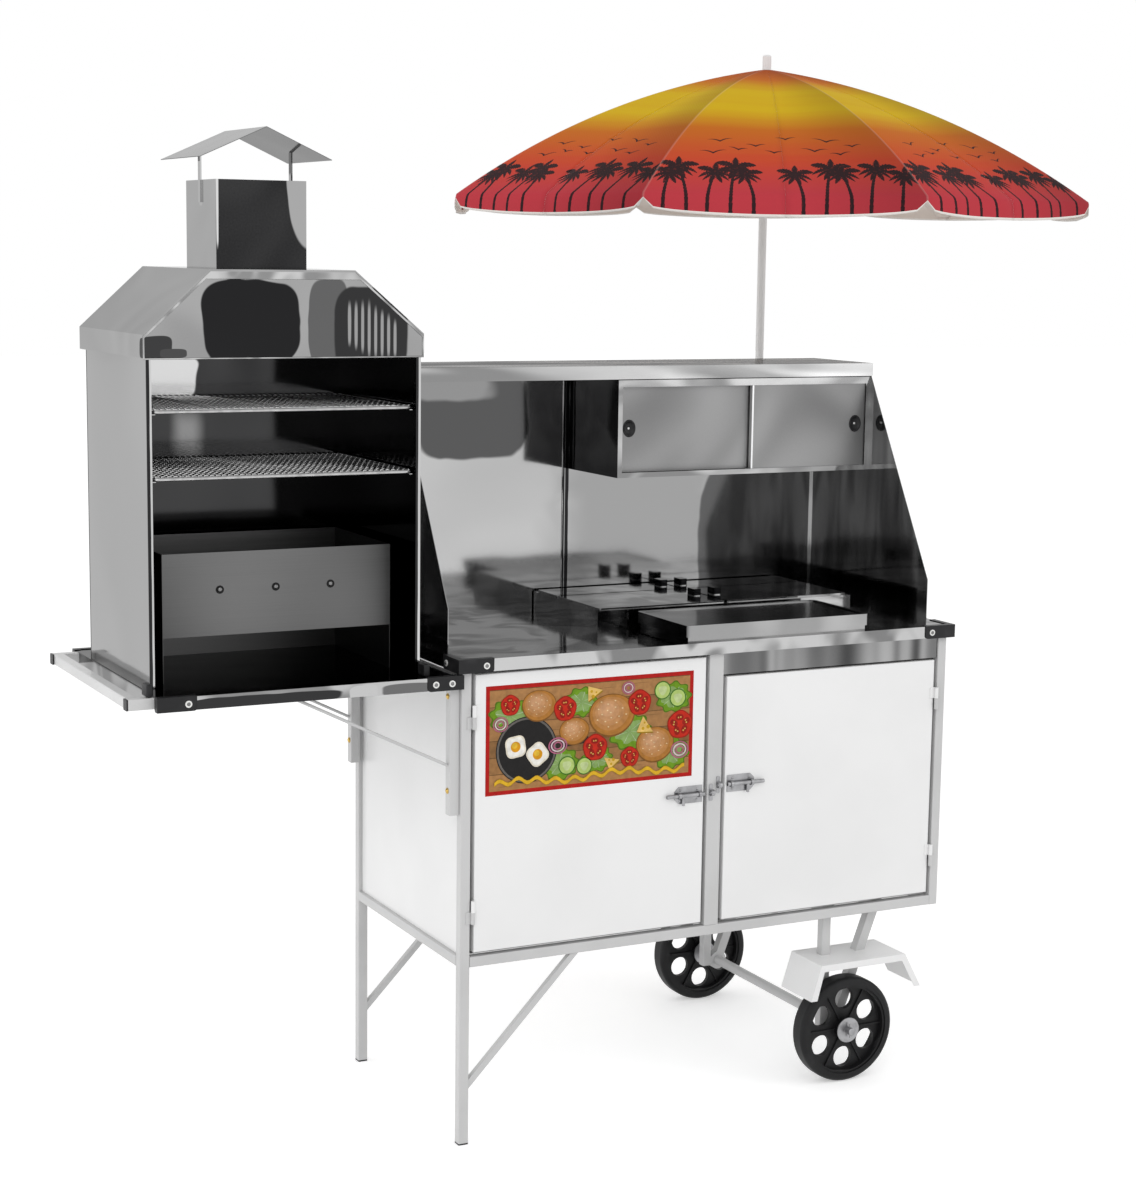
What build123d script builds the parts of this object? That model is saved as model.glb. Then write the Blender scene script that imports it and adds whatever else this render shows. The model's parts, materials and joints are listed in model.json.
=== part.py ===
from build123d import *
import math
import os

os.makedirs("parts", exist_ok=True)

# Street food cart: cabinet on two legs and two wheels, counter with griddle and hot wells,
# charcoal tower on a side shelf, showcase above and a folding parasol behind.
# Sizes are in millimetres. Places are given from the front left leg's outer corner on the
# floor, x to the right, y to the back, and at() moves them to the part's own origin.

# Square tube, sheet and running fits
tube = 20.0
tube_wall = 1.5
tube_corner = 2.0
sheet = 1.2
weld_gap = 0.2
fit = 0.3

# Cabinet
cabinet_length = 1090.0
cabinet_depth = 530.0
cabinet_base = 348.0
counter_height = 938.0
centre_post = 32.0
cap_thickness = 3.0
panel_inset = 8.0
brace_width = 12.0
brace_foot = 108.0
brace_reach = 232.0

# Doors and their lift-off hinges
door_gap = 8.0
door_depth = 18.0
door_corner = 2.0
left_door_head = 8.8
apron_gap = 4.0
hinge_radius = 4.0
hinge_pin_radius = 2.0
hinge_bore_clear = 0.05
hinge_height = 45.0
hinge_leaf = 13.0
hinge_leaf_thick = 1.5
hinge_stand_off = 0.5
hinge_inset = 57.0

# Slide bolts
latch_height_left = 638.0
latch_height_right = 652.0
latch_plate_length = 62.0
latch_plate_tall = 34.0
latch_plate_thick = 1.5
latch_edge_gap = 4.0
latch_chamfer = 9.0
strap_length = 6.0
strap_wall = 1.6
strap_inset = 5.0
bolt_radius = 4.0
bolt_clear = 0.35
bolt_stand_off = 1.0
bolt_length = 84.0
bolt_tip_gap = 2.0
knob_radius = 3.0
knob_reach = 20.0
knob_back = 49.0
keeper_inset = 4.0
keeper_length = 8.0

# Counter and its black corner guards
counter_edge = 24.0
counter_overhang = 9.0
guard_leg = 72.0
guard_thick = 2.5
guard_flange = 10.0
guard_flange_thick = 1.5
guard_drop = 1.0
guard_corner = 6.0
tray_guard_return = 16.0

# Griddle with its burner box
griddle_left = 475.0
griddle_length = 421.0
griddle_front = -2.0
griddle_depth = 205.0
griddle_rise = 11.0
griddle_thick = 23.0
griddle_wall = 5.0
griddle_corner = 9.0
griddle_rim = 8.0
griddle_recess = 2.0
collar_inset = 6.0
burner_opening_left = 580.0
burner_opening_right = 880.0
burner_opening_front = 30.0
burner_opening_back = 190.0
apron_height = 46.5
apron_setback = 4.0
burner_box_left = 570.0
burner_box_inset = 26.0
burner_box_depth = 201.0

# Gas burners
burner_radius = 9.0
burner_y = 100.0
burner_lift = 22.0
burner_start = 590.0
burner_end = 880.0
saddle_inset = 25.0
saddle_length = 6.0
feed_radius = 5.0
feed_inset = 75.0
feed_bend = 18.0
feed_hole_clear = 1.0
well_burner_y = 320.0
well_burner_height = 830.0
well_burner_start = 430.0
inlet_height = 770.0
inlet_radius = 6.0
inlet_length = 30.0

# Hot wells and lids
pan_left = 399.0
pan_front = 225.0
pan_length = 602.0
pan_depth = 292.0
pan_rise = 35.0
pan_lip = 11.0
pan_bridge = 20.0
front_well_depth = 170.0
well_drop = 78.0
well_corner = 12.0
lid_thick = 3.7
lid_margin = 6.0
lid_gap = 6.0
lid_corner = 4.0
lid_handle_length = 30.0
lid_handle_width = 18.0
lid_handle_height = 15.0
lid_handle_inset = 12.0

# Back wall, wings and top shelf
wing_inset = 2.0
wing_front = 70.0
wing_upright = 84.0
wing_top_y = 300.0
back_wall_y = 522.0
shelf_height = 1457.0
shelf_edge = 27.0
shelf_front = 298.0
seam_width = 14.0
seam_rise = 2.5

# Overhead showcase
showcase_left = 479.0
showcase_front = 302.0
showcase_drop = 29.0
showcase_height = 198.0
track_fin = 2.0
track_height = 9.0
upper_track_height = 13.0
slider_thick = 10.0
slider_side_clear = 1.0
slider_overlap = 14.0
slider_split = 803.0
jamb_width = 10.0
pull_width = 27.0
pull_height = 33.0
pull_depth = 4.0
pull_inset = 24.0

# Grill shelf and the brackets that carry it
tray_left = -580.0
tray_right = -3.0
tray_height = 909.5
tray_edge = 24.0
arm_reach = 628.0
arm_inset = 8.0
bracket_base = 643.0
strut_radius = 3.0
strut_foot = 738.0
strut_reach = 300.0

# Charcoal tower
tower_left = -578.0
tower_right = -66.0
tower_front = 44.0
tower_depth = 380.0
tower_head = 94.0
tower_return = 9.0
ledge_width = 18.0
hood_left = -585.0
hood_right = -62.0
hood_front = 40.0
hood_depth = 400.0
hood_skirt = 40.0
hood_rise = 112.0
hood_top_left = -463.0
hood_top_right = -195.0
chimney_x = -327.0
chimney_y = 245.0
chimney_size = 170.0
chimney_height = 157.0
cap_half_width = 123.0
cap_depth = 230.0
cap_eaves = 38.0
cap_rise = 55.0
cap_post_width = 12.0
cap_post_thick = 3.0
cap_post_hold = 40.0

# Grill racks
upper_rack_height = 1400.0
rack_pitch = 117.0
rack_frame_radius = 3.0
rack_corner = 12.0
rack_wire_radius = 1.75
rack_wires = 15
rack_depth = 360.0

# Firebox
firebox_left = -531.0
firebox_right = -94.0
firebox_front = 120.0
firebox_depth = 280.0
firebox_top = 1143.0
firebox_panel = 151.0
firebox_lip = 60.0
firebox_lip_fall = 8.0
firebox_hole_radius = 5.0
firebox_hole_pitch = 106.0
firebox_hole_x = -318.0
firebox_hole_height = 1075.0

# Wheels, axle and mudguards
wheel_radius = 110.0
wheel_width = 42.0
axle_setback = 222.0
front_wheel_y = -14.0
rear_wheel_y = 573.0
axle_radius = 8.0
wheel_bore_clear = 0.05
axle_tube_radius = 10.5
axle_boss_radius = 20.0
axle_end = 18.0
washer_radius = 26.0
washer_thick = 2.0
split_pin_radius = 1.5
split_pin_length = 30.0
hub_radius = 22.0
web_thick = 10.0
rim_radius = 88.0
rim_width = 36.0
tread_radius = 10.0
web_hole_radius = 21.5
web_hole_circle = 62.0
web_holes = 6
web_rib_thick = 3.0
web_rib_height = 18.0
hanger_post_lead = 28.0
hanger_slant_reach = 88.0
front_hanger_y = 42.0
mudguard_top = 260.0
mudguard_foot = 187.0
mudguard_lead = 101.0
mudguard_reach = 166.0
mudguard_flat_lead = 78.0
mudguard_flat_reach = 126.0
mudguard_sheet = 1.5
mudguard_flange = 14.0
mudguard_width = 115.0
mudguard_cover = 16.0

# Parasol
pole_inset = 105.0
pole_y = 590.0
pole_radius = 9.0
pole_bottom = 460.0
pole_slide_clear = 0.3
ferrule_rise = 40.0
ferrule_radius = 9.5
socket_radius = 12.5
socket_length = 400.0
socket_floor = 4.0
bracket_height = 30.0
socket_bracket_inset = 40.0
rib_count = 8
first_rib_angle = 39.6
rib_circle = 708.3
tip_height = 1793.0
pivot_height = 2072.0
rib_pivot_radius = 16.0
rib_sagitta = 42.0
rib_radius = 2.25
rib_tip_inset = 8.0
eye_radius = 4.0
eye_thick = 3.0
eye_neck = 10.5
cross_pin_radius = 1.0
cross_pin_length = 9.0
pin_clear = 0.05
crown_radius = 21.0
crown_above = 2.4
crown_below = 8.0
runner_drop = 260.0
runner_pivot_radius = 19.4
runner_radius = 25.0
runner_half_height = 5.0
runner_sleeve_radius = 13.0
runner_sleeve = 34.0
stretcher_radius = 2.0
stretcher_offset = 5.0
stretcher_attach = 290.0
cloth = 2.0
cloth_gap = 2.9
cloth_steps = 5
valance = 38.0
valance_at_rib = 8.0

# Levels and places that follow from those sizes
rail_top = cabinet_base + tube
floor_top = rail_top + sheet
frame_top = counter_height - sheet
top_rail_base = frame_top - tube
apron_base = top_rail_base - weld_gap - apron_height
bolt_y = -latch_plate_thick - bolt_stand_off - bolt_radius
hinge_y = -hinge_stand_off - hinge_radius
axle_z = wheel_radius
hanger_ys = (front_hanger_y, cabinet_depth - tube / 2)
arm_ys = (arm_inset + tube / 2, cabinet_depth - arm_inset - tube / 2)
arm_top = tray_height - sheet
track_pitch = slider_thick + 2 * slider_side_clear + track_fin
lower_rack_height = upper_rack_height - rack_pitch
tower_top = upper_rack_height + tower_head
burner_box_right = cabinet_length - burner_box_inset
feed_x = cabinet_length - feed_inset
axle_x = cabinet_length - axle_setback
hanger_post_x = axle_x - hanger_post_lead
hanger_slant_x = axle_x + hanger_slant_reach
mudguard_left = axle_x - mudguard_lead
mudguard_right = axle_x + mudguard_reach
mudguard_flat_left = axle_x - mudguard_flat_lead
mudguard_flat_right = axle_x + mudguard_flat_reach
pole_x = cabinet_length - pole_inset
ferrule_top = pivot_height + ferrule_rise

# The parasol's rib: an arc over a straight chord from its pivot to its tip
chord_run = rib_circle - rib_pivot_radius
chord_fall = pivot_height - tip_height
chord_length = math.hypot(chord_run, chord_fall)
chord_angle = math.atan2(chord_fall, chord_run)
cloth_lift = rib_radius + cloth_gap
hem_radius = rib_circle + (cloth_lift + cloth) * math.sin(chord_angle)
rib_angles = [first_rib_angle + 360 / rib_count * index for index in range(rib_count)]
canopy_half = hem_radius * max(abs(math.cos(math.radians(angle))) for angle in rib_angles)

# The part stands with the middle of its plan over the origin
x0 = (arm_reach + cap_thickness - pole_x - canopy_half) / 2
y0 = -pole_y


def at(x, y, z):
    """A place given from the front left leg, in the part's own frame."""
    return (x0 + x, y0 + y, z)


def front_plane(y):
    """An upright plane that faces the front, with the leg's corner as its origin."""
    return Plane(origin=at(0, y, 0), x_dir=(1, 0, 0), z_dir=(0, -1, 0))


def side_plane(x):
    """An upright plane that faces right, with y across and z up."""
    return Plane(origin=at(x, 0, 0), x_dir=(0, 1, 0), z_dir=(1, 0, 0))


def floor_plane(z):
    """A level plane, with x across and y to the back."""
    return Plane(origin=at(0, 0, z))


def block(low, high):
    """A rectangular block between two corners."""
    width, depth, height = (b - a for a, b in zip(low, high))
    with BuildPart() as piece:
        with BuildSketch(floor_plane(low[2])):
            with Locations((low[0] + width / 2, low[1] + depth / 2)):
                Rectangle(width, depth)
        extrude(amount=height)
    return piece.part


def folded_pan(low, high, *open_ends):
    """A pan folded from one sheet, open towards each given axis and end."""
    with BuildPart() as piece:
        add(block(low, high))
        openings = [piece.faces().sort_by(axis)[end] for axis, end in open_ends]
        offset(amount=-sheet, openings=openings)
    return piece.part


def square_tube(start, end, width=tube, depth=tube):
    """A square tube with rounded edges along a straight run."""
    low = Vector(*at(*start))
    run = Vector(*at(*end)) - low
    across = (1, 0, 0) if abs(run.X) < 1e-6 else (0, 1, 0)
    with BuildPart() as piece:
        with BuildSketch(Plane(origin=low, x_dir=across, z_dir=run)):
            RectangleRounded(width, depth, tube_corner)
            Rectangle(width - 2 * tube_wall, depth - 2 * tube_wall, mode=Mode.SUBTRACT)
        extrude(amount=run.length)
    return piece.part


def rod(start, end, radius):
    """A round bar along a straight run."""
    low = Vector(*at(*start))
    run = Vector(*at(*end)) - low
    with BuildPart() as piece:
        with BuildSketch(Plane(origin=low, z_dir=run)):
            Circle(radius)
        extrude(amount=run.length)
    return piece.part


def profile_along_y(points, y, length):
    """A straight-sided outline in x and z, carried towards the back."""
    with BuildPart() as piece:
        with BuildSketch(front_plane(y)):
            with BuildLine():
                Polyline(*points, close=True)
            make_face()
        extrude(amount=-length)
    return piece.part


# Welded frame of the cabinet, its tubes kept a weld apart
with BuildPart() as cabinet_frame:
    rail_heights = (cabinet_base + tube / 2, frame_top - tube / 2)
    far_x = cabinet_length - tube / 2
    far_y = cabinet_depth - tube / 2
    for y in (tube / 2, far_y):
        add(square_tube((tube / 2, y, cap_thickness), (tube / 2, y, frame_top)))
        add(square_tube((far_x, y, cabinet_base), (far_x, y, frame_top)))
        for z in rail_heights:
            start = (tube + weld_gap, y, z)
            add(square_tube(start, (cabinet_length - tube - weld_gap, y, z)))
        brace_top = cabinet_base - weld_gap
        brace_start = tube + weld_gap
        slope = math.atan2(brace_top - brace_foot, brace_reach)
        outline = (
            (brace_start, brace_foot),
            (brace_start + brace_reach, brace_top),
            (brace_start + brace_reach - brace_width / math.sin(slope), brace_top),
            (brace_start, brace_foot + brace_width / math.cos(slope)),
        )
        add(profile_along_y(outline, y - brace_width / 2, brace_width))
    for x in (tube / 2, far_x):
        for z in rail_heights:
            start = (x, tube + weld_gap, z)
            add(square_tube(start, (x, cabinet_depth - tube - weld_gap, z)))
    for x in (hanger_post_x, hanger_slant_x):
        start = (x, tube + weld_gap, rail_heights[0])
        add(square_tube(start, (x, cabinet_depth - tube - weld_gap, rail_heights[0])))
    post_foot = (cabinet_length / 2, tube / 2, rail_top + weld_gap)
    post_head = (cabinet_length / 2, tube / 2, top_rail_base - weld_gap)
    add(square_tube(post_foot, post_head, width=centre_post))
    add(square_tube((pole_x, far_y, floor_top + weld_gap), (pole_x, far_y, top_rail_base - weld_gap)))
cabinet_frame.part.label = "cabinet_frame"
export_step(cabinet_frame.part, "parts/cabinet_frame.step")

# Black plastic caps: two feet and the two ends of the push handle
with BuildPart() as tube_end_caps:
    for y in (tube / 2, cabinet_depth - tube / 2):
        with BuildSketch(floor_plane(0)):
            with Locations((tube / 2, y)):
                RectangleRounded(tube, tube, tube_corner)
        extrude(amount=cap_thickness)
    for y in arm_ys:
        with BuildSketch(side_plane(-arm_reach)):
            with Locations((y, arm_top - tube / 2)):
                RectangleRounded(tube, tube, tube_corner)
        extrude(amount=-cap_thickness)
tube_end_caps.part.label = "tube_end_caps"
export_step(tube_end_caps.part, "parts/tube_end_caps.step")

# White sheets let into the frame
with BuildPart() as cabinet_panels:
    sheet_low = tube + weld_gap
    panel_head = top_rail_base - weld_gap
    for x in (panel_inset, cabinet_length - panel_inset - sheet):
        low = (x, sheet_low, rail_top + weld_gap)
        add(block(low, (x + sheet, cabinet_depth - sheet_low, panel_head)))
    back_y = cabinet_depth - panel_inset
    upright = tube / 2 + weld_gap
    for left, right in ((sheet_low, pole_x - upright), (pole_x + upright, cabinet_length - sheet_low)):
        low = (left, back_y - sheet, floor_top + weld_gap)
        add(block(low, (right, back_y, panel_head)))
    add(block((sheet_low, sheet_low, rail_top), (cabinet_length - sheet_low, back_y, floor_top)))
cabinet_panels.part.label = "cabinet_panels"
export_step(cabinet_panels.part, "parts/cabinet_panels.step")


def hinge_half(axis_x, leaf_side, low, high):
    """Half a lift-off hinge: a barrel and the leaf that fixes it."""
    with BuildPart() as piece:
        with BuildSketch(floor_plane(low)):
            with Locations((axis_x, hinge_y)):
                Circle(hinge_radius)
            with Locations((axis_x + leaf_side * hinge_leaf / 2, -hinge_leaf_thick / 2)):
                Rectangle(hinge_leaf, hinge_leaf_thick)
        extrude(amount=high - low)
    return piece.part


left_hinge_x = tube + door_gap / 2
right_hinge_x = cabinet_length - left_hinge_x
doors = {
    "left_door": (left_hinge_x, 1, top_rail_base - left_door_head),
    "right_door": (right_hinge_x, -1, apron_base - apron_gap),
}
door_base = rail_top + door_gap
door_length = (cabinet_length - centre_post) / 2 - tube - 2 * door_gap


def hinge_levels(door_top):
    """The undersides of a door's two hinges."""
    return (door_base + hinge_inset, door_top - hinge_inset - hinge_height)


# Doors: pans open at the back, each with the bored upper halves of its two hinges
for name, (axis_x, side, door_top) in doors.items():
    edges_x = sorted((axis_x + side * door_gap / 2, axis_x + side * (door_gap / 2 + door_length)))
    with BuildPart() as door:
        add(block((edges_x[0], 0, door_base), (edges_x[1], door_depth, door_top)))
        fillet(door.faces().sort_by(Axis.Y)[0].edges(), door_corner)
        offset(amount=-sheet, openings=door.faces().sort_by(Axis.Y)[-1])
        for low in hinge_levels(door_top):
            add(hinge_half(axis_x, side, low + hinge_height / 2 + fit, low + hinge_height))
            with BuildSketch(floor_plane(low)):
                with Locations((axis_x, hinge_y)):
                    Circle(hinge_pin_radius + hinge_bore_clear)
            extrude(amount=hinge_height + fit, mode=Mode.SUBTRACT)
    door.part.label = name
    export_step(door.part, f"parts/{name}.step")

# Lower halves of the four hinges, with their pins, on the frame
with BuildPart() as hinge_pintles:
    for axis_x, side, door_top in doors.values():
        for low in hinge_levels(door_top):
            add(hinge_half(axis_x, -side, low, low + hinge_height / 2))
            add(rod((axis_x, hinge_y, low), (axis_x, hinge_y, low + hinge_height - fit), hinge_pin_radius))
hinge_pintles.part.label = "hinge_pintles"
export_step(hinge_pintles.part, "parts/hinge_pintles.step")


def strap(low_x, length, height):
    """A bent strap on the front that the slide bolt runs through."""
    outer = bolt_radius + bolt_clear + strap_wall
    depth = -bolt_y
    with BuildPart() as piece:
        with BuildSketch(side_plane(low_x)):
            with Locations((bolt_y, height)):
                Circle(outer)
            with Locations((bolt_y + depth / 2, height)):
                Rectangle(depth, 2 * outer)
            with Locations((bolt_y, height)):
                Circle(bolt_radius + bolt_clear, mode=Mode.SUBTRACT)
        extrude(amount=length)
    return piece.part


def latch_plate(edge_x, toward, height):
    """A slide bolt's plate with its two straps, beside a door's free edge."""
    near_x = edge_x - toward * latch_edge_gap
    tail_x = near_x - toward * latch_plate_length
    strap_x = (near_x - toward * strap_inset, tail_x + toward * strap_inset)
    with BuildPart() as piece:
        with BuildSketch(front_plane(0)) as outline:
            with Locations(((near_x + tail_x) / 2, height)):
                Rectangle(latch_plate_length, latch_plate_tall)
            ends = outline.vertices().group_by(Axis.X)
            chamfer(ends[0] if toward > 0 else ends[-1], latch_chamfer)
        extrude(amount=latch_plate_thick)
        for end_x, inward in zip(strap_x, (-toward, toward)):
            add(strap(min(end_x, end_x + inward * strap_length), strap_length, height))
    return piece.part


def latch_bolt(edge_x, toward, height):
    """A round slide bolt with its thumb pin, drawn back from the post."""
    tip_x = edge_x - toward * bolt_tip_gap
    knob_x = edge_x - toward * knob_back
    with BuildPart() as piece:
        add(rod((tip_x, bolt_y, height), (tip_x - toward * bolt_length, bolt_y, height), bolt_radius))
        chamfer(piece.edges().filter_by(GeomType.CIRCLE), bolt_stand_off / 2)
        add(rod((knob_x, bolt_y, height), (knob_x, bolt_y, height - knob_reach), knob_radius))
        fillet(piece.faces().sort_by(Axis.Z)[0].edges(), knob_radius / 2)
    return piece.part


door_free_edge = left_hinge_x + door_gap / 2 + door_length
latches = {
    "left": (door_free_edge, 1, latch_height_left),
    "right": (cabinet_length - door_free_edge, -1, latch_height_right),
}
for hand, placing in latches.items():
    plate = latch_plate(*placing)
    plate.label = f"{hand}_latch_plate"
    export_step(plate, f"parts/{hand}_latch_plate.step")
    bolt = latch_bolt(*placing)
    bolt.label = f"{hand}_latch_bolt"
    export_step(bolt, f"parts/{hand}_latch_bolt.step")

# Keepers for the two bolts, on the centre post
with BuildPart() as latch_keepers:
    for edge_x, toward, height in latches.values():
        near_x = edge_x + toward * (door_gap + keeper_inset)
        low_x = min(near_x, near_x + toward * keeper_length)
        with BuildSketch(front_plane(0)):
            with Locations((low_x + keeper_length / 2, height)):
                RectangleRounded(keeper_length, latch_plate_tall, keeper_length / 3)
            with Locations((low_x + keeper_length / 2, height)):
                Rectangle(keeper_length, 2 * (bolt_radius + bolt_clear), mode=Mode.SUBTRACT)
        extrude(amount=latch_plate_thick)
        add(strap(low_x, keeper_length, height))
latch_keepers.part.label = "latch_keepers"
export_step(latch_keepers.part, "parts/latch_keepers.step")

# Stainless counter: a folded pan with openings for the griddle's burner and the wells
counter_low = (-counter_overhang, -counter_overhang, counter_height - counter_edge)
counter_high = (cabinet_length + counter_overhang, cabinet_depth + counter_overhang, counter_height)
pan_high = (pan_left + pan_length, pan_front + pan_depth)
with BuildPart() as countertop:
    add(folded_pan(counter_low, counter_high, (Axis.Z, 0)))
    with BuildSketch(floor_plane(counter_height)):
        with Locations(((burner_opening_left + burner_opening_right) / 2,
                        (burner_opening_front + burner_opening_back) / 2)):
            Rectangle(burner_opening_right - burner_opening_left, burner_opening_back - burner_opening_front)
        with Locations((pan_left + pan_length / 2, pan_front + pan_depth / 2)):
            Rectangle(pan_length - pan_lip, pan_depth - pan_lip)
    extrude(amount=-sheet, mode=Mode.SUBTRACT)
countertop.part.label = "countertop"
export_step(countertop.part, "parts/countertop.step")


def corner_guard(corner, inward, legs, base, top):
    """A black corner guard: two legs down the edge and a flange on top."""
    leg_x, leg_y = legs
    with BuildPart() as piece:
        start_x = corner[0] - inward[0] * guard_thick
        start_y = corner[1] - inward[1] * guard_thick
        for width, thick, level in (
            (guard_thick, top + guard_flange_thick - base, base),
            (guard_thick + guard_flange, guard_flange_thick, top),
        ):
            with BuildSketch(floor_plane(level)):
                with Locations((start_x + inward[0] * leg_x / 2, start_y + inward[1] * width / 2)):
                    Rectangle(leg_x, width)
                with Locations((start_x + inward[0] * width / 2, start_y + inward[1] * leg_y / 2)):
                    Rectangle(width, leg_y)
            extrude(amount=thick)
        ends = piece.edges().group_by(Axis.Z)[0].filter_by(lambda edge: edge.length < guard_thick + fit)
        fillet(ends, min(guard_corner, leg_y / 2))
    return piece.part


tray_low_z = tray_height - tray_edge
with BuildPart() as corner_guards:
    for x, to_x in ((counter_low[0], 1), (counter_high[0], -1)):
        for y, to_y in ((counter_low[1], 1), (counter_high[1], -1)):
            legs = (guard_leg, guard_leg)
            add(corner_guard((x, y), (to_x, to_y), legs, counter_low[2] - guard_drop, counter_height))
    for x, to_x in ((tray_left, 1), (tray_right, -1)):
        for y, to_y in ((counter_low[1], 1), (counter_high[1], -1)):
            legs = (guard_leg, tray_guard_return)
            add(corner_guard((x, y), (to_x, to_y), legs, tray_low_z - guard_drop, tray_height))
corner_guards.part.label = "corner_guards"
export_step(corner_guards.part, "parts/corner_guards.step")

# Burner box under the griddle, with the bright apron above the right door
apron_y = apron_setback
box_low = (burner_box_left, apron_y, apron_base)
box_high = (burner_box_right, apron_y + burner_box_depth, apron_base + apron_height)
apron_left = (cabinet_length + centre_post) / 2 + weld_gap
with BuildPart() as burner_box:
    add(folded_pan(box_low, box_high, (Axis.Z, -1)))
    add(block((apron_left, apron_y, apron_base),
              (cabinet_length - tube - weld_gap, apron_y + sheet, box_high[2])))
    with BuildSketch(front_plane(box_high[1])):
        with Locations((feed_x, apron_base + burner_lift + sheet)):
            Circle(feed_radius + feed_hole_clear)
    extrude(amount=2 * sheet, mode=Mode.SUBTRACT)
burner_box.part.label = "burner_box"
export_step(burner_box.part, "parts/burner_box.step")

# Gas burners: one under the griddle, one under the wells, on one bent feed pipe
burner_z = apron_base + burner_lift + sheet
with BuildPart() as gas_burners:
    with BuildLine() as feed:
        FilletPolyline(
            at(burner_end, burner_y, burner_z),
            at(feed_x, burner_y, burner_z),
            at(feed_x, well_burner_y, burner_z),
            at(feed_x, well_burner_y, inlet_height),
            radius=feed_bend,
        )
    with BuildSketch(Plane(origin=feed.line @ 0, z_dir=feed.line % 0)):
        Circle(feed_radius)
    sweep()
    add(rod((burner_start, burner_y, burner_z), (burner_end, burner_y, burner_z), burner_radius))
    add(rod((well_burner_start, well_burner_y, well_burner_height),
            (feed_x, well_burner_y, well_burner_height), burner_radius))
    for x in (burner_start + saddle_inset, burner_end - saddle_inset - saddle_length):
        low = (x, burner_y - burner_radius, apron_base + sheet)
        add(block(low, (x + saddle_length, burner_y + burner_radius, burner_z)))
    inlet_top = (feed_x, well_burner_y, inlet_height + inlet_length)
    add(rod((feed_x, well_burner_y, inlet_height), inlet_top, inlet_radius))
gas_burners.part.label = "gas_burners"
export_step(gas_burners.part, "parts/gas_burners.step")

# Griddle: a thick plate with a turned-down skirt, on a collar that stands on the counter
griddle_low = (griddle_left, griddle_front, counter_height + griddle_rise)
griddle_high = (griddle_left + griddle_length, griddle_front + griddle_depth, griddle_low[2] + griddle_thick)
griddle_middle = ((griddle_low[0] + griddle_high[0]) / 2, (griddle_low[1] + griddle_high[1]) / 2)
with BuildPart() as griddle_plate:
    add(block(griddle_low, griddle_high))
    fillet(griddle_plate.edges().filter_by(Axis.Z), griddle_corner)
    offset(amount=-griddle_wall, openings=griddle_plate.faces().sort_by(Axis.Z)[0])
    with BuildSketch(floor_plane(griddle_high[2])):
        with Locations(griddle_middle):
            RectangleRounded(griddle_length - 2 * griddle_rim, griddle_depth - 2 * griddle_rim, griddle_wall)
    extrude(amount=-griddle_recess, mode=Mode.SUBTRACT)
    with BuildSketch(floor_plane(counter_height)):
        with Locations(griddle_middle):
            collar_length = griddle_length - 2 * collar_inset
            collar_depth = griddle_depth - 2 * collar_inset
            Rectangle(collar_length, collar_depth)
            Rectangle(collar_length - 2 * sheet, collar_depth - 2 * sheet, mode=Mode.SUBTRACT)
    extrude(amount=griddle_high[2] - griddle_wall - counter_height)
griddle_plate.part.label = "griddle_plate"
export_step(griddle_plate.part, "parts/griddle_plate.step")

# Hot wells: a raised frame with four deep pans
well_length = (pan_length - 2 * pan_lip - pan_bridge) / 2
rear_well_depth = pan_depth - 2 * pan_lip - pan_bridge - front_well_depth
well_columns = (pan_left + pan_lip, pan_left + pan_lip + well_length + pan_bridge)
well_rows = (
    (pan_front + pan_lip, front_well_depth),
    (pan_front + pan_lip + front_well_depth + pan_bridge, rear_well_depth),
)
pan_top = counter_height + pan_rise
with BuildPart() as pan_frame:
    add(folded_pan((pan_left, pan_front, counter_height), (*pan_high, pan_top), (Axis.Z, 0)))
    for grow, level, mode in ((sheet, 0, Mode.ADD), (0, sheet, Mode.SUBTRACT)):
        for well_x in well_columns:
            for well_y, depth in well_rows:
                with BuildSketch(floor_plane(counter_height - well_drop + level)):
                    with Locations((well_x + well_length / 2, well_y + depth / 2)):
                        RectangleRounded(well_length + 2 * grow, depth + 2 * grow, well_corner + grow)
                extrude(amount=pan_rise + well_drop - level, mode=mode)
pan_frame.part.label = "pan_frame"
export_step(pan_frame.part, "parts/pan_frame.step")

# Four loose lids, each with a black grip near its inner end
lid_split_x = pan_left + pan_length / 2
lid_split_y = well_rows[0][0] + front_well_depth + pan_bridge / 2
lid_columns = {
    "left": (pan_left + lid_margin, lid_split_x - lid_gap / 2),
    "right": (lid_split_x + lid_gap / 2, pan_high[0] - lid_margin),
}
lid_rows = {
    "front": (pan_front + lid_margin, lid_split_y - lid_gap / 2),
    "rear": (lid_split_y + lid_gap / 2, pan_high[1] - lid_margin),
}
lid_base = pan_top + fit
for row, (low_y, high_y) in lid_rows.items():
    for column, (low_x, high_x) in lid_columns.items():
        grip_x = high_x - lid_handle_inset - lid_handle_width / 2
        if column == "right":
            grip_x = low_x + lid_handle_inset + lid_handle_width / 2
        with BuildPart() as lid:
            with BuildSketch(floor_plane(lid_base)):
                with Locations(((low_x + high_x) / 2, (low_y + high_y) / 2)):
                    RectangleRounded(high_x - low_x, high_y - low_y, lid_corner)
            extrude(amount=lid_thick)
            with BuildSketch(floor_plane(lid_base + lid_thick)):
                with Locations((grip_x, (low_y + high_y) / 2)):
                    RectangleRounded(lid_handle_width, lid_handle_length, lid_corner)
            extrude(amount=lid_handle_height)
        lid.part.label = f"{row}_{column}_lid"
        export_step(lid.part, f"parts/{row}_{column}_lid.step")

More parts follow.
